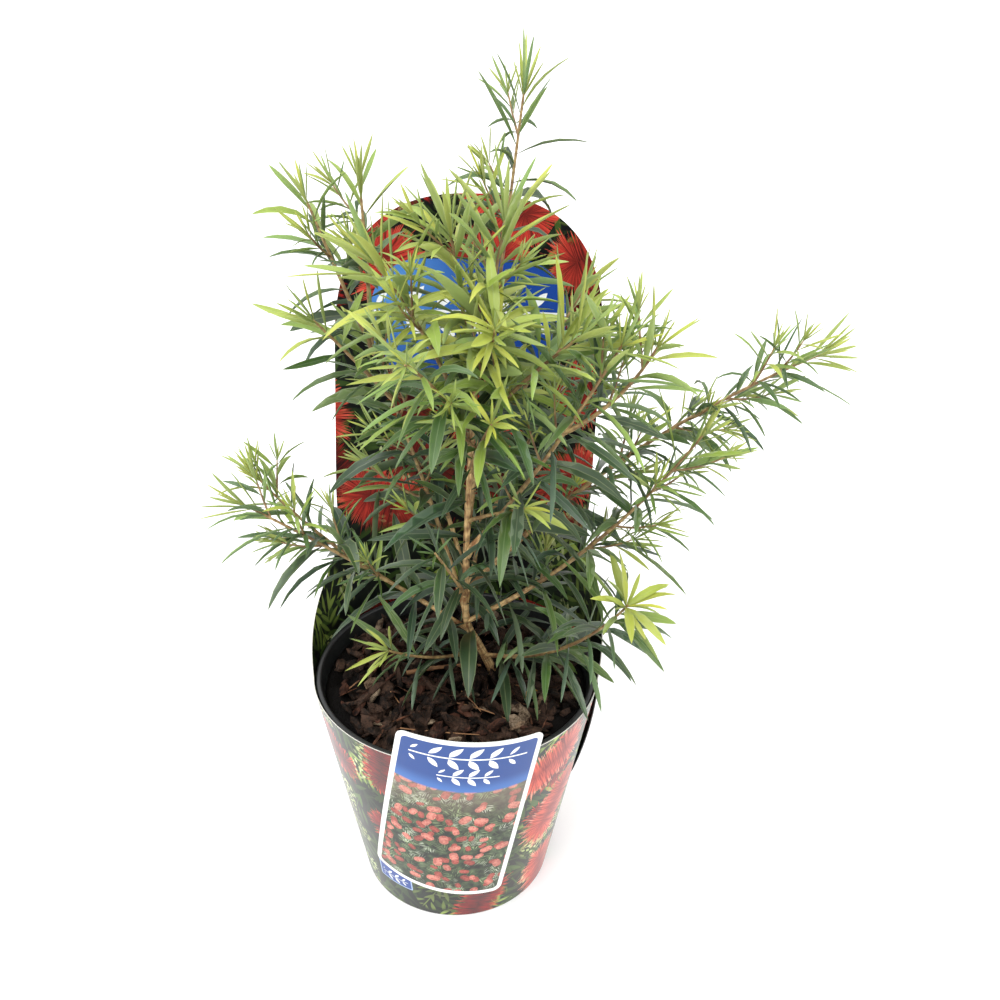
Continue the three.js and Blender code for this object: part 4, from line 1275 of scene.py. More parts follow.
class Room:
    """What foliage stays clear of: the card, the pot's rim, the mulch and the limbs."""

    CARD_MARGIN = 2.6
    SOIL_MARGIN = 2.5
    LIMB_MARGIN = 0.7
    TRUNK_MARGIN = 4
    RIM_REACH = 84
    # Where the pot's rim and the upper part of the label begin, and how closely card is looked at.
    RIM_FROM = 120
    LABEL_FROM = 40
    STEP = 2.5

    def __init__(self, shoots):
        z, u = np.meshgrid(np.arange(SLEEVE_HEIGHT, PANEL_TOP, self.STEP), np.linspace(-1, 1, 68))
        shown = z <= arch_top(u)
        panel = sheet_point((u * sheet_side(z))[shown], -CARD / 2, z[shown])
        angle, height = np.meshgrid(np.linspace(0, 2 * math.pi, 220),
                                    np.arange(self.RIM_FROM, SLEEVE_HEIGHT + 1, self.STEP))
        radius = sleeve_radius(height) - 2
        rim = np.stack([radius * np.sin(angle), radius * np.cos(angle), height], -1)
        half = LABEL_WIDTH / 2
        x, y = np.meshgrid(np.linspace(-half, half, 34), np.linspace(self.LABEL_FROM, LABEL_HEIGHT / 2, 12))
        label = on_cone(x, y, CARD_GAP)
        self.card = self.tree(np.concatenate([panel, rim.reshape(-1, 3), label.reshape(-1, 3)]))
        limbs = [(TRUNK(t), trunk_radius(t)) for t in np.linspace(0, 1, 90)]
        for shoot in shoots.values():
            steps = np.linspace(0, 1, max(4, int(shoot.length / 3)))
            limbs += [(shoot.curve(t), shoot.radius(t)) for t in steps]
        self.limb_radius = [radius for _, radius in limbs]
        self.limbs = self.tree(np.array([point for point, _ in limbs]))

    @staticmethod
    def tree(points):
        found = KDTree(len(points))
        for index, point in enumerate(points):
            found.insert(point, index)
        found.balance()
        return found

    def before_trunk(self, point):
        """Whether a point stands before the bare part of the trunk, seen from the front."""
        depth = TRUNK_PATH[3][1]
        if point[1] > depth - self.TRUNK_MARGIN:
            return False
        back = (depth - EYE[1]) / (point[1] - EYE[1])
        seen = EYE + (point - EYE) * back
        if not TRUNK_SHOWS[0] < seen[2] - SOIL_LEVEL < TRUNK_SHOWS[1]:
            return False
        return abs(seen[0] - TRUNK(trunk_fraction(seen[2] - SOIL_LEVEL))[0]) < TRUNK_CLEARING

    def free(self, point, near_root=False):
        x, y, z = point
        if z < soil_height(x, y) + self.SOIL_MARGIN and np.hypot(x, y) < self.RIM_REACH:
            return False
        if self.card.find(point)[2] < self.CARD_MARGIN:
            return False
        if near_root:
            return True
        if self.before_trunk(point):
            return False
        _, index, away = self.limbs.find(point)
        return away > self.limb_radius[index] + self.LIMB_MARGIN


def leaf_on(frame, turn, splay, length, width, droop, tone, draw, room):
    """A leaf at a turn round its stem, turned on or shortened until it stands free, or nothing."""
    roll, twist, fold = [mix(*spread, draw()) for spread in (LEAF_ROLL, LEAF_TWIST, LEAF_FOLD)]
    for shorten in LEAF_SHORTER:
        for nudge in LEAF_NUDGES:
            angle = math.radians(turn + nudge)
            outward = frame.side * math.cos(angle) + frame.other * math.sin(angle)
            start = frame.tangent * math.cos(math.radians(splay)) + outward * math.sin(math.radians(splay))
            if start[2] < 0:
                start = unit(start * [1, 1, 1 - LIGHTWARD * min(1, droop)])
            end = unit(start - np.array([0, 0, droop]))
            size = length * shorten
            places = [frame.point + start * size * (f - f * f / 2) + end * size * f * f / 2
                      for f in (0.25, 0.5, 0.75, 1)]
            if all(room.free(place, i == 0) for i, place in enumerate(places)):
                across = unit(np.cross(start, frame.tangent))
                return Leaf(frame.point, start, end, across, size, width, tone, roll, twist, fold)
    return None


def dress(stem, room, draw, leaves):
    """The leaves of one stem: wide-set and arching on old wood, close and upright near its tip."""
    length = stem.length
    wanted = []
    axis = np.array(TRUNK_PATH[2][:2])
    young_splay = mix(YOUNG.splay, stem.star_splay, stem.star)
    young_slimness = mix(min(stem.slimness, CROWN_SLIMNESS), stem.star_slimness, stem.star ** 2)
    turn = draw() * 360
    s = stem.bare_from
    while s < length - 2:
        youth = min(1, max(0, 1 - (length - s) / stem.young_length))
        near = youth ** 2
        size = mix(stem.leaf, YOUNG_LEAF * stem.young_size, near) * mix(*LENGTH_SPREAD, draw())
        splay = mix(MATURE.splay, young_splay, youth) + mix(-LOOSENESS, LOOSENESS, draw())
        place = stem.curve(s / length)
        inner = smooth(INNER_REACH[1], INNER_REACH[0], np.hypot(*(place[:2] - axis)))
        slimness = max(stem.slimness, mix(stem.slimness, INNER_SLIMNESS, inner))
        width = mix(slimness, young_slimness, near) * mix(*WIDTH_SPREAD, draw() ** 1.6) * size
        droop = mix(MATURE.droop * mix(0.3, 1.7, draw()), YOUNG.droop + mix(-0.5, 0.7, draw()), youth)
        height = place[2] - SOIL_LEVEL
        lit = smooth(CROWN_HEIGHT + 30, CROWN_HEIGHT + 120, height) if stem.fresh > 0.5 else 1 - inner
        fresh = stem.fresh * lit
        spread = 0.15 + 0.13 * stem.fresh
        tone = min(0.98, mix(fresh, 0.88, youth ** 1.7) * stem.ageing + mix(-spread, spread, draw()))
        wanted.append((s / length, turn, splay, size, width, droop, tone))
        stem.scars.append(s)
        turn += GOLDEN_ANGLE + mix(-LOOSENESS, LOOSENESS, draw())
        s += mix(MATURE.spacing, YOUNG.spacing, youth) * mix(*SPACING_SPREAD, draw()) * stem.spacing
    for i in range(stem.tip_leaves):
        splay = mix(8, young_splay, (i + 1) / stem.tip_leaves)
        if stem.star >= 0.5:
            splay = young_splay + mix(-34, 14, draw())
        size = YOUNG_LEAF * stem.young_size * mix(0.5, 0.95, draw())
        large = max(0, size - 12) * 0.012 * (1 - stem.star)
        tone = (0.74 + 0.4 * draw() - large) * math.sqrt(stem.ageing)
        droop = 0.02 + stem.star * mix(-0.1, 0.9, draw())
        wanted.append((0.985, turn + i * GOLDEN_ANGLE, splay, size, young_slimness * size, droop, tone))
    frames = frames_along(stem.curve, [w[0] for w in wanted])
    for frame_here, (_, *values) in zip(frames, wanted):
        leaf = leaf_on(frame_here, *values, draw, room)
        if leaf:
            leaves.append(leaf)


class Sprig:
    """A short side twig that carries a tuft of small leaves."""

    def __init__(self, shoot, t, turn, draw):
        frame_here = frames_along(shoot.curve, np.linspace(0, t, 12))[-1]
        angle = math.radians(turn)
        outward = frame_here.side * math.cos(angle) + frame_here.other * math.sin(angle)
        splay = math.radians(SPRIG_SPLAY)
        start = frame_here.tangent * math.cos(splay) + outward * math.sin(splay)
        self.length = SPRIG_LENGTH * mix(0.7, 1.15, draw())
        end = unit(start + np.array([0, 0, 0.5]))
        root = frame_here.point
        bend = root + start * self.length * 0.5
        self.curve = quadratic(root, bend, root + (start + end) * self.length * 0.5)
        vars(self).update(SPRIG_HABIT, ageing=mix(1, shoot.ageing, 0.5), fresh=shoot.fresh, scars=[])

    def radius(self, t):
        return mix(SPRIG_RADIUS, SPRIG_RADIUS / 2, t)


class TrunkStem:
    """The trunk as a bearer of leaves, above the lowest boughs."""

    def __init__(self):
        vars(self).update(TRUNK_HABIT, curve=TRUNK, scars=[])


Plant = namedtuple("Plant", "shoots sprigs trunk leaves")


@functools.lru_cache(maxsize=1)
def grown_plant(spacing):
    """Every stem and leaf of the plant. spacing scales the distance between the leaves."""
    shoots = {}
    for name, row in SHOOTS.items():
        shoots[name] = Shoot(name, row, shoots)
    room = Room(shoots)
    leaves, sprigs = [], []
    for index, (name, shoot) in enumerate(shoots.items()):
        draw = seeded(SHOOT_SEED + index)
        short = shoot.length < SHORT_SHOOT
        rosette = ROSETTES.get(name, Rosette(YOUNG_LENGTH, STAR_SLIMNESS, 7, STAR_SPLAY))
        shoot.bare_from = BARE_STEMS.get(name, 9 if shoot.bare > 0 else 6)
        shoot.young_length, shoot.star_slimness, shoot.tip_leaves, shoot.star_splay = rosette
        shoot.young_size = YOUNG_SIZES.get(name, 1.35 if short and shoot.parent == "trunk" else 1.0)
        shoot.spacing = spacing * CLOSENESS.get(name, 1)
        dress(shoot, room, draw, leaves)
        count = round(shoot.sprigs * 2.4) + (2 if shoot.fresh > 0.5 else 0)
        for i in range(count):
            t = mix(max(shoot.bare, 0.3), 0.93, (i + draw()) / count)
            sprig = Sprig(shoot, t, draw() * 360, draw)
            if all(room.free(sprig.curve(f)) for f in (0.5, 1)):
                sprigs.append(sprig)
                dress(sprig, room, draw, leaves)
    trunk = TrunkStem()
    trunk.spacing *= spacing
    dress(trunk, room, seeded(TRUNK_SEED), leaves)
    return Plant(shoots, sprigs, trunk, leaves)


# ---------------------------------------------------------------- limbs and twigs
@node_group("bark_sweep", {"Geometry": "Geometry"}, "Geometry", geometry="Geometry", sides="Int",
            relief="Float", relief_scale="Vector", material="Material")
def bark_sweep(nodes, geometry, sides, relief, relief_scale, material):
    """Sweeps a round section along each line, with bark relief and its grain."""
    def captured(shape, value, kind):
        node = nodes.add("GeometryNodeCaptureAttribute", out=None)
        node.capture_items.new(kind, "kept")
        nodes.feed(node.inputs[0], shape)
        nodes.feed(node.inputs[1], value)
        return Value(nodes, node.outputs[0]), Value(nodes, node.outputs[1])

    girth = nodes.add("GeometryNodeInputNamedAttribute", "girth", data_type="FLOAT")
    lines, run = captured(nodes.add("GeometryNodeMeshToCurve", geometry),
                          nodes.add("GeometryNodeSplineParameter", out=1), "FLOAT")
    lines, width = captured(lines, girth, "FLOAT")
    circle = nodes.add("GeometryNodeCurvePrimitiveCircle", named={"Resolution": sides, "Radius": 1.0})
    section, around = captured(circle, nodes.add("GeometryNodeInputPosition"), "VECTOR")
    tube = nodes.add("GeometryNodeCurveToMesh", named={
        "Curve": lines, "Profile Curve": section, "Scale": girth, "Fill Caps": True})
    x, y, _ = around.scaled(width).split()
    grain = nodes.join(x, y, run)
    stored = nodes.add("GeometryNodeStoreNamedAttribute", data_type="FLOAT_VECTOR", domain="POINT",
                       named={"Geometry": tube, "Name": "grain", "Value": grain})
    rough = grain.vector("MULTIPLY", relief_scale).noise(1.0, 2)
    offset = nodes.add("GeometryNodeInputNormal").scaled((rough - 0.5) * relief)
    shaped = nodes.add("GeometryNodeSetPosition", named={"Geometry": stored, "Offset": offset})
    smoothed = nodes.add("GeometryNodeSetShadeSmooth", named={"Geometry": shaped, "Shade Smooth": True})
    return (painted(nodes, smoothed, material),)


def line_of(stem, step, start=0.0, end=1.0, knuckle=0.16):
    """Points, radii and leaf scars along a stem, with a small knuckle where each leaf stood."""
    count = max(3, int(stem.length * (end - start) / step))
    fractions = np.linspace(start, end, count + 1)
    marks = np.zeros(count + 1)
    for scar in stem.scars:
        marks = np.maximum(marks, np.exp(-((fractions * stem.length - scar) / 0.9) ** 2))
    radii = np.array([stem.radius(t) for t in fractions]) + knuckle * marks
    return np.array([stem.curve(t) for t in fractions]), radii, marks


def swept(name, lines, sides, relief, relief_scale, material):
    """One plain mesh swept along a list of lines."""
    mesh = bpy.data.meshes.new(name)
    points, edges = [], []
    for path, _, _ in lines:
        first = len(points)
        points += (path * MM).tolist()
        edges += [(first + i, first + i + 1) for i in range(len(path) - 1)]
    mesh.from_pydata(points, edges, [])
    for key, column, scale in (("girth", 1, MM), ("scar", 2, 1.0)):
        values = np.concatenate([line[column] for line in lines]) * scale
        mesh.attributes.new(key, "FLOAT", "POINT").data.foreach_set("value", values.astype(np.float32))
    piece = linked(name, mesh)
    run_tree(piece, bark_sweep(), sides=sides, relief=relief, relief_scale=relief_scale, material=material)
    face_outwards(piece)
    return piece


def bark_material(name, dark, light, scar, scars=0.8, roughness=0.75):
    """Bark with its fissures, its scars and a worn roughness."""
    nodes = material_nodes(name)
    grain = nodes.placed(bark_grain(), dark=dark, light=light, scar_colour=scar, scars=scars)
    height = grain["Height"]
    return nodes.finish(grain["Colour"], height.ease(0.2, 0.8, roughness - 0.1, roughness + 0.12),
                        height.bump(0.55, 0.0006))


# ---------------------------------------------------------------- leaves
# The leaf's outline: stations along it, and its width there as a share of the widest.
STATIONS = ((0.05, 0.2), (0.17, 0.64), (0.36, 0.96), (0.58, 1.0), (0.79, 0.71), (0.93, 0.32))
# Columns across a leaf as shares of its half width: margin, blade, rib, rib, blade, margin. A seventh runs
# down the middle of its underside.
COLUMNS = (-1.0, -0.88, -0.08, 0.08, 0.88, 1.0)
ROW = len(COLUMNS) + 1
LEAF_DEPTH = 0.42
BLADE, RIB, UNDERSIDE = 0, 1, 2
# What each side of a leaf turns its colour towards, how far, and how much rougher it is than the blade.
LEAF_SIDES = (("blade", "000000", 0, 0), ("rib", "A9B58C", 0.18, 0.05), ("underside", "7F9077", 0.3, 0.15))
# Each age of leaf: its range of tones, the roughness and sheen of its blade, and its slot.
LEAF_AGES = {
    "old": (-9, 0.1, 0.42, 0.58, "mature_leaves"),
    "grown": (0.1, 0.38, 0.42, 0.52, "mature_leaves"),
    "fresh": (0.38, 0.6, 0.42, 0.45, "young_leaves"),
    "bright": (0.6, 0.8, 0.44, 0.42, "young_leaves"),
    "tips": (0.8, 1.0, 0.46, 0.4, "young_leaves"),
    "flush": (1.0, 9, 0.46, 0.4, "young_leaves"),
}
# What the coolest and the warmest leaf of one age multiply its colour by.
LEAF_COOL = (0.76, 0.88, 0.94, 1.0)
LEAF_WARM = (1.17, 1.1, 0.84, 1.0)


def leaf_faces():
    """The faces of one leaf as numbers into its points, each with its kind."""
    root = len(STATIONS) * ROW
    last = root - ROW
    made = []
    strips = [(c, c + 1, RIB if c % 2 == 0 else BLADE) for c in range(5)]
    for a, b, kind in strips + [(6, 0, UNDERSIDE), (5, 6, UNDERSIDE)]:
        made.append(((root, b, a), kind))
        made += [((r + a, r + b, r + b + ROW, r + a + ROW), kind) for r in range(0, last, ROW)]
        made.append(((last + a, last + b, root + 1), kind))
    return made


def leaf_points(leaf):
    """The points of one leaf: a shallow trough round a raised rib, arched and twisted along its course."""
    rows = []
    for f, share in STATIONS:
        centre = leaf.point + leaf.start * leaf.length * (f - f * f / 2) + leaf.end * leaf.length * f * f / 2
        along = unit(mix(leaf.start, leaf.end, f))
        across = turned(leaf.across, leaf.start, leaf.roll * min(1, f * 3) + leaf.twist * f)
        across = unit(across - along * (along @ across))
        upper = np.cross(across, along)
        half = leaf.width / 2 * share
        for column in COLUMNS:
            rise = leaf.fold * abs(column) * half
            rows.append(centre + across * column * half + upper * rise)
        rows.append(centre - upper * LEAF_DEPTH * (0.4 + 0.6 * share))
    root = leaf.point - leaf.start * 0.3
    tip = leaf.point + (leaf.start + leaf.end) * leaf.length / 2
    return rows + [root, tip]


def leaves_piece(name, leaves, materials):
    """One joined mesh of leaves, sharp at their margins. Its attribute leaf holds how far along its leaf a
    point lies, and a number of the leaf's own."""
    template = leaf_faces()
    points, faces = [], []
    for leaf in leaves:
        faces += [[len(points) + i for i in face] for face, _ in template]
        points += leaf_points(leaf)
    piece = make_piece(name, points, faces, materials, [kind for _, kind in template] * len(leaves))
    mesh = piece.data
    body = len(STATIONS) * ROW
    place = np.arange(len(mesh.vertices)) % (body + 2)
    column = np.where(place < body, place % ROW, 9)
    ends = np.empty(len(mesh.edges) * 2, np.int32)
    mesh.edges.foreach_get("vertices", ends)
    pair = column[ends.reshape(-1, 2)]
    margin = np.isin(pair, (0, 5, 9)).all(1) & ~((pair == 0).any(1) & (pair == 5).any(1))
    mesh.attributes.new("sharp_edge", "BOOLEAN", "EDGE").data.foreach_set("value", margin)
    courses = np.append(np.repeat([f for f, _ in STATIONS], ROW), (0, 1))
    chances = np.random.default_rng(len(leaves)).random(len(leaves))
    values = np.column_stack([np.tile(courses, len(leaves)), np.repeat(chances, body + 2),
                              np.zeros(len(place))])
    held = mesh.attributes.new("leaf", "FLOAT_VECTOR", "POINT")
    held.data.foreach_set("vector", values.astype(np.float32).ravel())
    return piece


def leaf_material(name, colour, roughness, sheen):
    """A leaf's surface: one plain colour with a slight drift over the plant, a tint of each leaf's own, a
    paler tip, and a satin sheen."""
    def tint(nodes):
        course, chance, _ = nodes.add("ShaderNodeAttribute", out=1, attribute_name="leaf").split()
        return chance.blend(LEAF_COOL, LEAF_WARM).scaled(course.ease(0.0, 0.7, 0.86, 1.08))

    return mottled_material(name, 55.0, 1.1, 0.3, shaded(colour, 0.8), shaded(colour, 1.18), roughness,
                            (0.15, 0.0003), tint, Specular_IOR_Level=sheen, Subsurface_Weight=0.12,
                            Subsurface_Radius=(0.9, 1.0, 0.5), Subsurface_Scale=0.0012)


# ---------------------------------------------------------------- settings
def length(name, description, default):
    return FloatProperty(name=name, description=description, default=default, unit="LENGTH", precision=5)


def amount(name, description, default, **bounds):
    return FloatProperty(name=name, description=description, default=default, **bounds)


def share(name, description, default):
    return amount(name, description, default, subtype="FACTOR", min=0, max=1)


def turn(name, description, degrees):
    return amount(name, description, math.radians(degrees), subtype="ANGLE")


def colour(name, description, code):
    return FloatVectorProperty(name=name, description=description, default=linear(code), subtype="COLOR",
                               size=4, min=0, max=1)


class PotSettings(bpy.types.PropertyGroup):
    segments: IntProperty(name="Segments", description="Faces round the pot", default=144, min=24)
    plastic: colour("Plastic", "The pot's black plastic", "1A1C1C")
    dust: colour("Dust", "The dusty bloom on the plastic", "2E3030")
    roughness: share("Roughness", "The plastic's roughness", 0.36)


class MulchSettings(bpy.types.PropertyGroup):
    density: amount("Density", "Chips for each square metre of the bed", 14500, min=0)
    smallest: length("Smallest chip", "Length of the shortest chip", 0.006)
    largest: length("Largest chip", "Length of the longest chip", 0.019)
    # dark is also the lighter end of the bed between the chips, whose near-black is partly earth and partly
    # painted shade.
    dark: colour("Dark", "Deep brown of wet bark", "0B0806")
    brown: colour("Brown", "Brown of the bark's faces", "47352B")
    red: colour("Reddish", "Reddish chips", "55382C")
    tan: colour("Tan", "Pale worn chips", "8F7D68")


class SleeveSettings(bpy.types.PropertyGroup):
    gloss_roughness: share("Roughness", "Roughness of the varnished print", 0.34)
    bloom_deep: colour("Bloom, deep", "Shaded filaments of the printed flowers", "8A1614")
    bloom_bright: colour("Bloom, bright", "Lit filaments of the printed flowers", "D2432E")
    bloom_tips: colour("Bloom, tips", "Pale tips of the printed filaments", "F09A80")
    leaf_green: colour("Printed leaf", "Green of the printed leaves", "4E6B2C")
    leaf_fresh: colour("Printed young leaf", "Yellow-green of the printed young leaves", "A6BC5A")
    label_blue: colour("Plate", "Blue of the printed plates", "1A4190")
    cut_edge: colour("Cut edge", "The card's bare edge", "DEDBD2")


class LabelSettings(bpy.types.PropertyGroup):
    border: colour("Border", "The label's white border", "F4F5F1")
    band_dark: colour("Band, top", "Blue of the band's top", "1D4488")
    band_light: colour("Band, foot", "Blue of the band's foot", "3E6CB0")
    bloom: colour("Blooms", "Coral of the small printed blooms", "AE5346")
    bloom_light: colour("Blooms, light", "Lit side of the small printed blooms", "D98C7B")


class LimbSettings(bpy.types.PropertyGroup):
    relief: length("Bark relief", "Depth of the bark's relief", 0.00055)
    twig_relief: length("Twig relief", "Depth of the relief on twigs", 0.0002)
    dark: colour("Bark, dark", "Brown in the bark's fissures", "8A5E38")
    light: colour("Bark, light", "Tan of the bark's ridges", "EAC88C")
    scar: colour("Leaf scars", "Dark marks where leaves stood", "5A3C26")
    shoot_dark: colour("Young stem, dark", "Brown shade of young stems", "836540")
    shoot_light: colour("Young stem, light", "Light side of young stems", "B79C66")


class FoliageSettings(bpy.types.PropertyGroup):
    spacing: amount("Spacing", "Scales the distance between the leaves", 1.0, min=0.3)
    old: colour("Old leaves", "Dark green of the oldest leaves", "2B4028")
    grown: colour("Grown leaves", "Green of the grown leaves", "435E2C")
    fresh: colour("Fresh leaves", "Green of the current year's leaves", "7B9245")
    bright: colour("Bright leaves", "Yellow-green of young leaves", "94A150")
    tips: colour("Tips", "Yellow-green of the tip leaves", "9EA850")
    flush: colour("Flush", "Yellow of the newest tips", "ADB44E")


class StageSettings(bpy.types.PropertyGroup):
    camera_place: FloatVectorProperty(name="Camera", description="Where the camera stands", size=3,
                                      default=(0.02496, -0.49523, 0.52995), subtype="TRANSLATION")
    camera_pitch: turn("Pitch", "How far the camera looks down", 28.08)
    camera_roll: turn("Roll", "The camera's roll", 1.057)
    lens: amount("Lens", "Focal length in millimetres", 36.0)
    key_power: amount("Key light", "Power of the large soft light in watts", 8.0)
    surround: amount("Surround", "Strength of the white surround overhead", 1.75)
    horizon: amount("Horizon", "Strength of the white surround at its foot", 0.85)
    sun_power: amount("Daylight", "Strength of the soft daylight", 1.3)
    floor: colour("Floor", "The plain pale floor", "E8E8E8")
    floor_glow: amount("Floor glow", "Light of the backlit floor", 0.1)


# ---------------------------------------------------------------- operators
class MakePot(bpy.types.Operator):
    """Makes the nursery pot"""
    bl_idname = "bottlebrush.nursery_pot"
    bl_label = "Nursery pot"

    def execute(self, context):
        settings = context.scene.bottlebrush_pot
        plastic = mottled_material("black_plastic", 38.0, 0.9, 0.5, settings.plastic[:], settings.dust[:],
                                   settings.roughness, (0.12, 0.0004))
        hand_over(pot_piece(settings, plastic), "pot_plastic", "pot")
        return {"FINISHED"}


class MakeMulch(bpy.types.Operator):
    """Makes the bed of bark mulch with its chips, its splinters and what lies on them"""
    bl_idname = "bottlebrush.bark_mulch"
    bl_label = "Bark mulch"

    def execute(self, context):
        settings = context.scene.bottlebrush_mulch
        inner = pot_wall_radius(SOIL_LEVEL) - POT_WALL - CARD_GAP
        # The bed seen between the chips runs from near-black to dark: partly the earth's own colour, partly
        # painted shade in the gaps between chips.
        earth = chip_material("moist_earth", linear("050302"), settings.dark[:])
        bed = soil_bed(earth, inner, "mulch_bed")
        face_outwards(bed)
        hand_over(bed, "bark_mulch", "soil")
        for name, kind, dark, light, share, seed in (
                ("mulch_dark", "chip", settings.dark[:], settings.brown[:], 1.0, 11),
                ("mulch_brown", "chip", linear("14100D"), settings.brown[:], 0.9, 23),
                ("mulch_reddish", "chip", linear("1C1310"), settings.red[:], 0.38, 37),
                ("mulch_tan", "chip", linear("32251B"), settings.tan[:], 0.12, 41),
                ("mulch_splinters", "splinter", linear("2E2018"), linear("6C4836"), 0.3, 53)):
            grow, tilt = (1.7, 0.32) if kind == "splinter" else (1.0, 0.95)
            piece = scattered(
                name, chip_templates(kind, 6, seed), chip_material(name + "_bark", dark, light),
                density=settings.density * share, seed=seed, smallest=settings.smallest * grow,
                largest=settings.largest * grow, tilt=tilt, lift=CHIP_LIFT)
            face_outwards(piece)
            hand_over(piece, "bark_mulch")
        for piece in (self.worn_chips(), self.straws(), self.dry_leaf()):
            hand_over(piece, "bark_mulch")
        return {"FINISHED"}

    @staticmethod
    def worn_chips():
        points, faces = [], []
        for template, row in zip(chip_templates("chip", len(WORN_CHIPS), 67), WORN_CHIPS):
            faces += [[len(points) + i for i in p.vertices] for p in template.data.polygons]
            points += worn_chip(template, *row).tolist()
            bpy.data.objects.remove(template)
        bark = chip_material("worn_chip_bark", linear("33251C"), linear("86705A"))
        worn = make_piece("worn_chips", points, faces, [bark], smooth_shaded=False)
        face_outwards(worn)
        return worn

    @staticmethod
    def straws():
        straw = bark_material("dry_straw", linear("6E4A30"), linear("A87C54"), linear("4A3020"), 0.4)
        lines = []
        for index, (x0, y0, x1, y1) in enumerate(STRAWS + (STICK,)):
            root, tip = [np.array([x, y, SOIL_LEVEL + lift]) for x, y, lift in
                         zip((x0, x1), (y0, y1), STRAW_LIFTS)]
            bend = (root + tip) / 2 + [2.0, 3.0 * (-1) ** index, 1.5]
            thick = STICK_RADIUS if index == len(STRAWS) else STRAW_RADIUS
            span = float(np.linalg.norm(tip - root))
            stem = Stem(quadratic(root, bend, tip), span, lambda t, r=thick: r * mix(1, 0.6, t),
                        [span * 0.3, span * 0.7])
            lines.append(line_of(stem, 1.5, knuckle=thick * 0.3))
        foot = np.array(TRUNK_PATH[0], float)
        stub = Stem(quadratic(foot, foot + [-0.5, -3.5, 0.5], foot + [0, -6.5, 3.0]), 7, lambda t: 1.9, [])
        lines.append(line_of(stub, 1.2))
        return swept("straws", lines, 8, 0.0002, TWIG_GRAIN, straw)

    @staticmethod
    def dry_leaf():
        low = np.array([*DRY_LEAF, SOIL_LEVEL + DRY_LEAF_LIFT])
        curled = Leaf(low, unit(np.array([-0.2, 0.5, 1.0])), unit(np.array([0.9, -0.9, 0.1])),
                      np.array([0.9, 0.4, 0.0]), 24, 4.6, 0, 0.3, 1.6, 0.5)
        orange = leaf_material("dry_leaf", linear("C98636"), 0.5, 0.45)
        return leaves_piece("dry_leaf", [curled], [orange] * 3)


class MakeSleeve(bpy.types.Operator):
    """Makes the printed card sleeve with its back panel, and its lap"""
    bl_idname = "bottlebrush.card_sleeve"
    bl_label = "Card sleeve"

    def execute(self, context):
        settings = context.scene.bottlebrush_sleeve
        edge = plain_card("card_edge", settings.cut_edge[:])
        outside = outside_print(settings)
        sleeve = sleeve_piece([outside, panel_print(settings), edge])
        hand_over(sleeve, "printed_card", "sleeve_wrap", "sleeve_back_panel")
        # The lap's inner face and cut edges take a near-black colour: painted shade of the narrow gap behind
        # the springing lap, while the sleeve's other cut edges are pale.
        lap = lap_piece([outside, plain_card("lap_card", linear("121413"), 0.35)])
        hand_over(lap, "printed_card", "sleeve_lap")
        return {"FINISHED"}


class MakeLabel(bpy.types.Operator):
    """Makes the label card at the front"""
    bl_idname = "bottlebrush.front_label"
    bl_label = "Front label"

    def execute(self, context):
        settings = context.scene.bottlebrush_label
        face = label_print(settings, context.scene.bottlebrush_sleeve)
        label = label_piece([face, plain_card("label_back", settings.border[:], 0.4)])
        hand_over(label, "label_card", "front_label")
        return {"FINISHED"}


class MakeLimbs(bpy.types.Operator):
    """Makes the trunk and the boughs with their bark relief"""
    bl_idname = "bottlebrush.limbs"
    bl_label = "Trunk and boughs"

    def execute(self, context):
        settings = context.scene.bottlebrush_limbs
        plant = grown_plant(context.scene.bottlebrush_foliage.spacing)
        bark = bark_material("tan_bark", settings.dark[:], settings.light[:], settings.scar[:], 0.5)
        stem = Stem(TRUNK, TRUNK_LENGTH, trunk_radius, plant.trunk.scars + TRUNK_RINGS)
        path, radii, marks = line_of(stem, 0.9, knuckle=0.22)
        below = path[0] - unit(path[1] - path[0]) * FOOT_DEPTH
        line = np.vstack([below, path]), np.append(radii[0], radii), np.append(0, marks)
        hand_over(swept("trunk_bark", [line], 28, settings.relief, BARK_GRAIN, bark), "bark", "trunk")
        for shoot in plant.shoots.values():
            if shoot.bare > 0:
                node = f"{shoot.name}_bough"
                line = line_of(shoot, 1.0, end=shoot.bare, knuckle=0.22)
                bough = swept(node + "_bark", [line], 16, settings.relief * 0.6, BARK_GRAIN, bark)
                hand_over(bough, "bark", node)
        return {"FINISHED"}


class MakeTwigs(bpy.types.Operator):
    """Makes the stems and sprigs inside the foliage"""
    bl_idname = "bottlebrush.twigs"
    bl_label = "Twigs"

    def execute(self, context):
        settings = context.scene.bottlebrush_limbs
        plant = grown_plant(context.scene.bottlebrush_foliage.spacing)
        bark = bark_material("twig_bark", settings.shoot_dark[:], settings.shoot_light[:], settings.scar[:],
                             0.6, 0.6)
        lines = [line_of(shoot, 1.6, start=max(0.0, shoot.bare - 1.0 / shoot.length))
                 for shoot in plant.shoots.values()]
        lines += [line_of(sprig, 1.8, knuckle=0.08) for sprig in plant.sprigs]
        twigs = swept("foliage_twigs", lines, 9, settings.twig_relief, TWIG_GRAIN, bark)
        hand_over(twigs, "bark", *FOLIAGE_NODES)
        return {"FINISHED"}


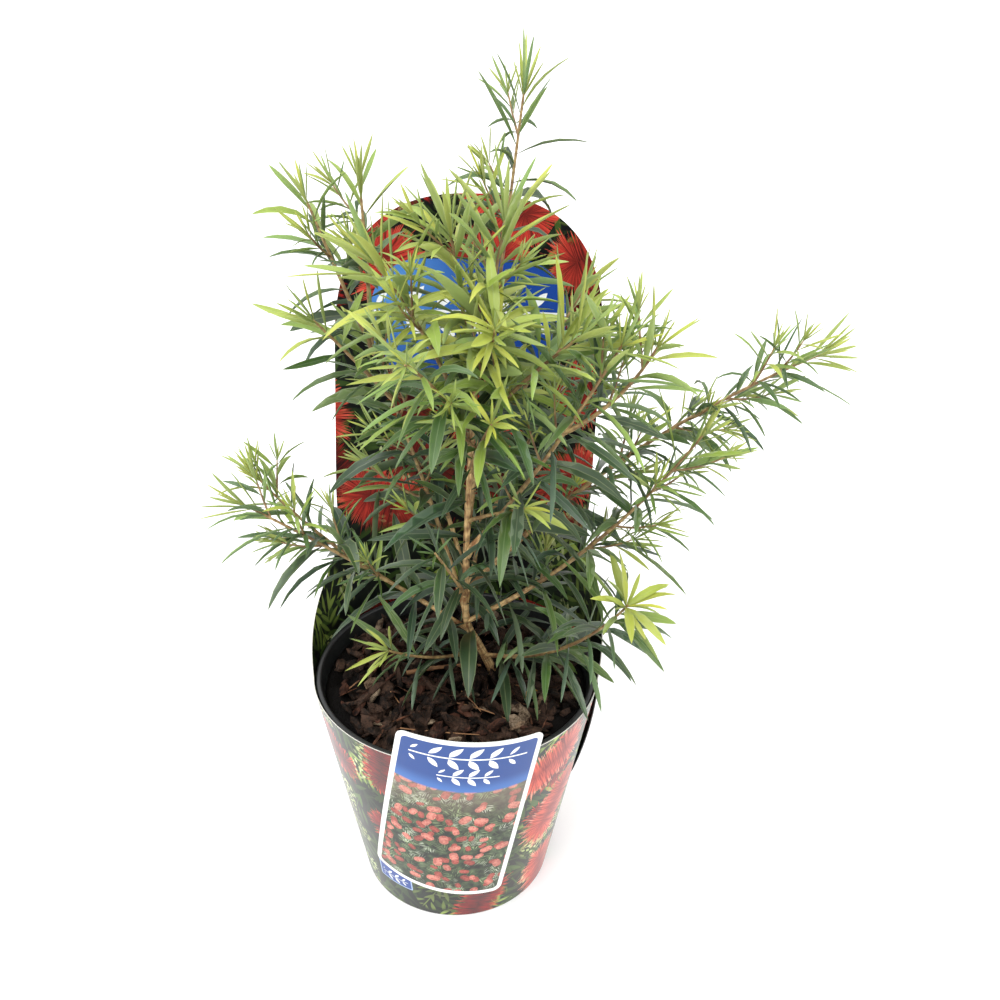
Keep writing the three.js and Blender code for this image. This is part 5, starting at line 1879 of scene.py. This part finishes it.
class MakeLeaves(bpy.types.Operator):
    """Makes the leaves, joined by their age"""
    bl_idname = "bottlebrush.leaves"
    bl_label = "Leaves"

    def execute(self, context):
        settings = context.scene.bottlebrush_foliage
        plant = grown_plant(settings.spacing)
        for age, (low, high, roughness, sheen, slot) in LEAF_AGES.items():
            name, tint = f"leaves_{age}", getattr(settings, age)[:]
            materials = []
            for kind, code, how_far, rougher in LEAF_SIDES:
                colours = [mix(c, p, how_far) for c, p in zip(tint, linear(code))]
                materials.append(leaf_material(f"{name}_{kind}", colours, roughness + rougher, sheen))
            chosen = [leaf for leaf in plant.leaves if low <= leaf.tone < high]
            hand_over(leaves_piece(name, chosen, materials), slot, *FOLIAGE_NODES)
        return {"FINISHED"}


class MakeStage(bpy.types.Operator):
    """Makes the camera, the soft light and the pale floor"""
    bl_idname = "bottlebrush.stage"
    bl_label = "Stage"

    def execute(self, context):
        scene = context.scene
        settings = scene.bottlebrush_stage
        pitch, roll = settings.camera_pitch, settings.camera_roll
        back, right = Vector((0, -math.cos(pitch), math.sin(pitch))), Vector((1, 0, 0))
        up = back.cross(right)
        turned_right = right * math.cos(roll) + up * math.sin(roll)
        turned_up = up * math.cos(roll) - right * math.sin(roll)
        data = bpy.data.cameras.new("camera")
        data.lens = settings.lens
        data.sensor_width = SENSOR_WIDTH
        camera = linked("camera", data)
        camera.matrix_world = Matrix.Translation(settings.camera_place) @ Matrix(
            (turned_right, turned_up, back)).transposed().to_4x4()
        scene.camera = camera
        scene.view_settings.view_transform = "Standard"
        light = bpy.data.lights.new("soft_key", "AREA")
        light.size = KEY_SIZE
        light.energy = settings.key_power
        key = linked("soft_key", light)
        key.location = KEY_PLACE
        key.rotation_euler = (Vector(PLANT_MIDDLE) - Vector(KEY_PLACE)).to_track_quat("-Z", "Y").to_euler()
        daylight = bpy.data.lights.new("daylight", "SUN")
        daylight.energy = settings.sun_power
        daylight.angle = math.radians(DAYLIGHT_SPREAD)
        linked("daylight", daylight).rotation_euler = [math.radians(a) for a in DAYLIGHT_SLANT]
        world = bpy.data.worlds.new("surround")
        world.use_nodes = True
        sky = Nodes(world.node_tree)
        height = sky.add("ShaderNodeTexCoord", out=0).split()[2]
        background = world.node_tree.nodes["Background"]
        background.inputs["Color"].default_value = WHITE
        sky.feed(background.inputs["Strength"], height.ease(0.0, 0.9, settings.horizon, settings.surround))
        scene.world = world
        pale = mottled_material(
            "pale_floor", 2.0, 0.2, 0.1, shaded(settings.floor, 0.985), settings.floor[:], 0.8,
            Emission_Strength=settings.floor_glow, Emission_Color=WHITE)
        reach = FLOOR_REACH
        square = ((-reach, -reach), (reach, -reach), (reach, reach), (-reach, reach))
        corners = [(x, y, FLOOR_LEVEL) for x, y in square]
        make_piece("floor", corners, [(0, 1, 2, 3)], [pale])
        return {"FINISHED"}


class PlantPanel(bpy.types.Panel):
    """Lists the pieces of the potted bottlebrush"""
    bl_idname = "VIEW3D_PT_bottlebrush"
    bl_label = "Potted bottlebrush"
    bl_space_type = "VIEW_3D"
    bl_region_type = "UI"
    bl_category = "Plant"

    def draw(self, context):
        for operator in OPERATORS:
            self.layout.operator(operator.bl_idname)
        for key, group in SETTINGS.items():
            box = self.layout.box()
            box.label(text=key.replace("_", " "))
            held = getattr(context.scene, key)
            for name in group.__annotations__:
                box.prop(held, name)


SETTINGS = {
    "bottlebrush_pot": PotSettings,
    "bottlebrush_mulch": MulchSettings,
    "bottlebrush_sleeve": SleeveSettings,
    "bottlebrush_label": LabelSettings,
    "bottlebrush_limbs": LimbSettings,
    "bottlebrush_foliage": FoliageSettings,
    "bottlebrush_stage": StageSettings,
}
OPERATORS = (MakeStage, MakePot, MakeMulch, MakeSleeve, MakeLabel, MakeLimbs, MakeTwigs, MakeLeaves)


def register():
    for group in (*SETTINGS.values(), *OPERATORS, PlantPanel):
        bpy.utils.register_class(group)
    for key, group in SETTINGS.items():
        setattr(bpy.types.Scene, key, PointerProperty(type=group))


def unregister():
    for key in SETTINGS:
        delattr(bpy.types.Scene, key)
    for group in (PlantPanel, *OPERATORS, *SETTINGS.values()):
        bpy.utils.unregister_class(group)


def main():
    register()
    for operator in OPERATORS:
        package, name = operator.bl_idname.split(".")
        getattr(getattr(bpy.ops, package), name)()


if __name__ == "__main__":
    main()
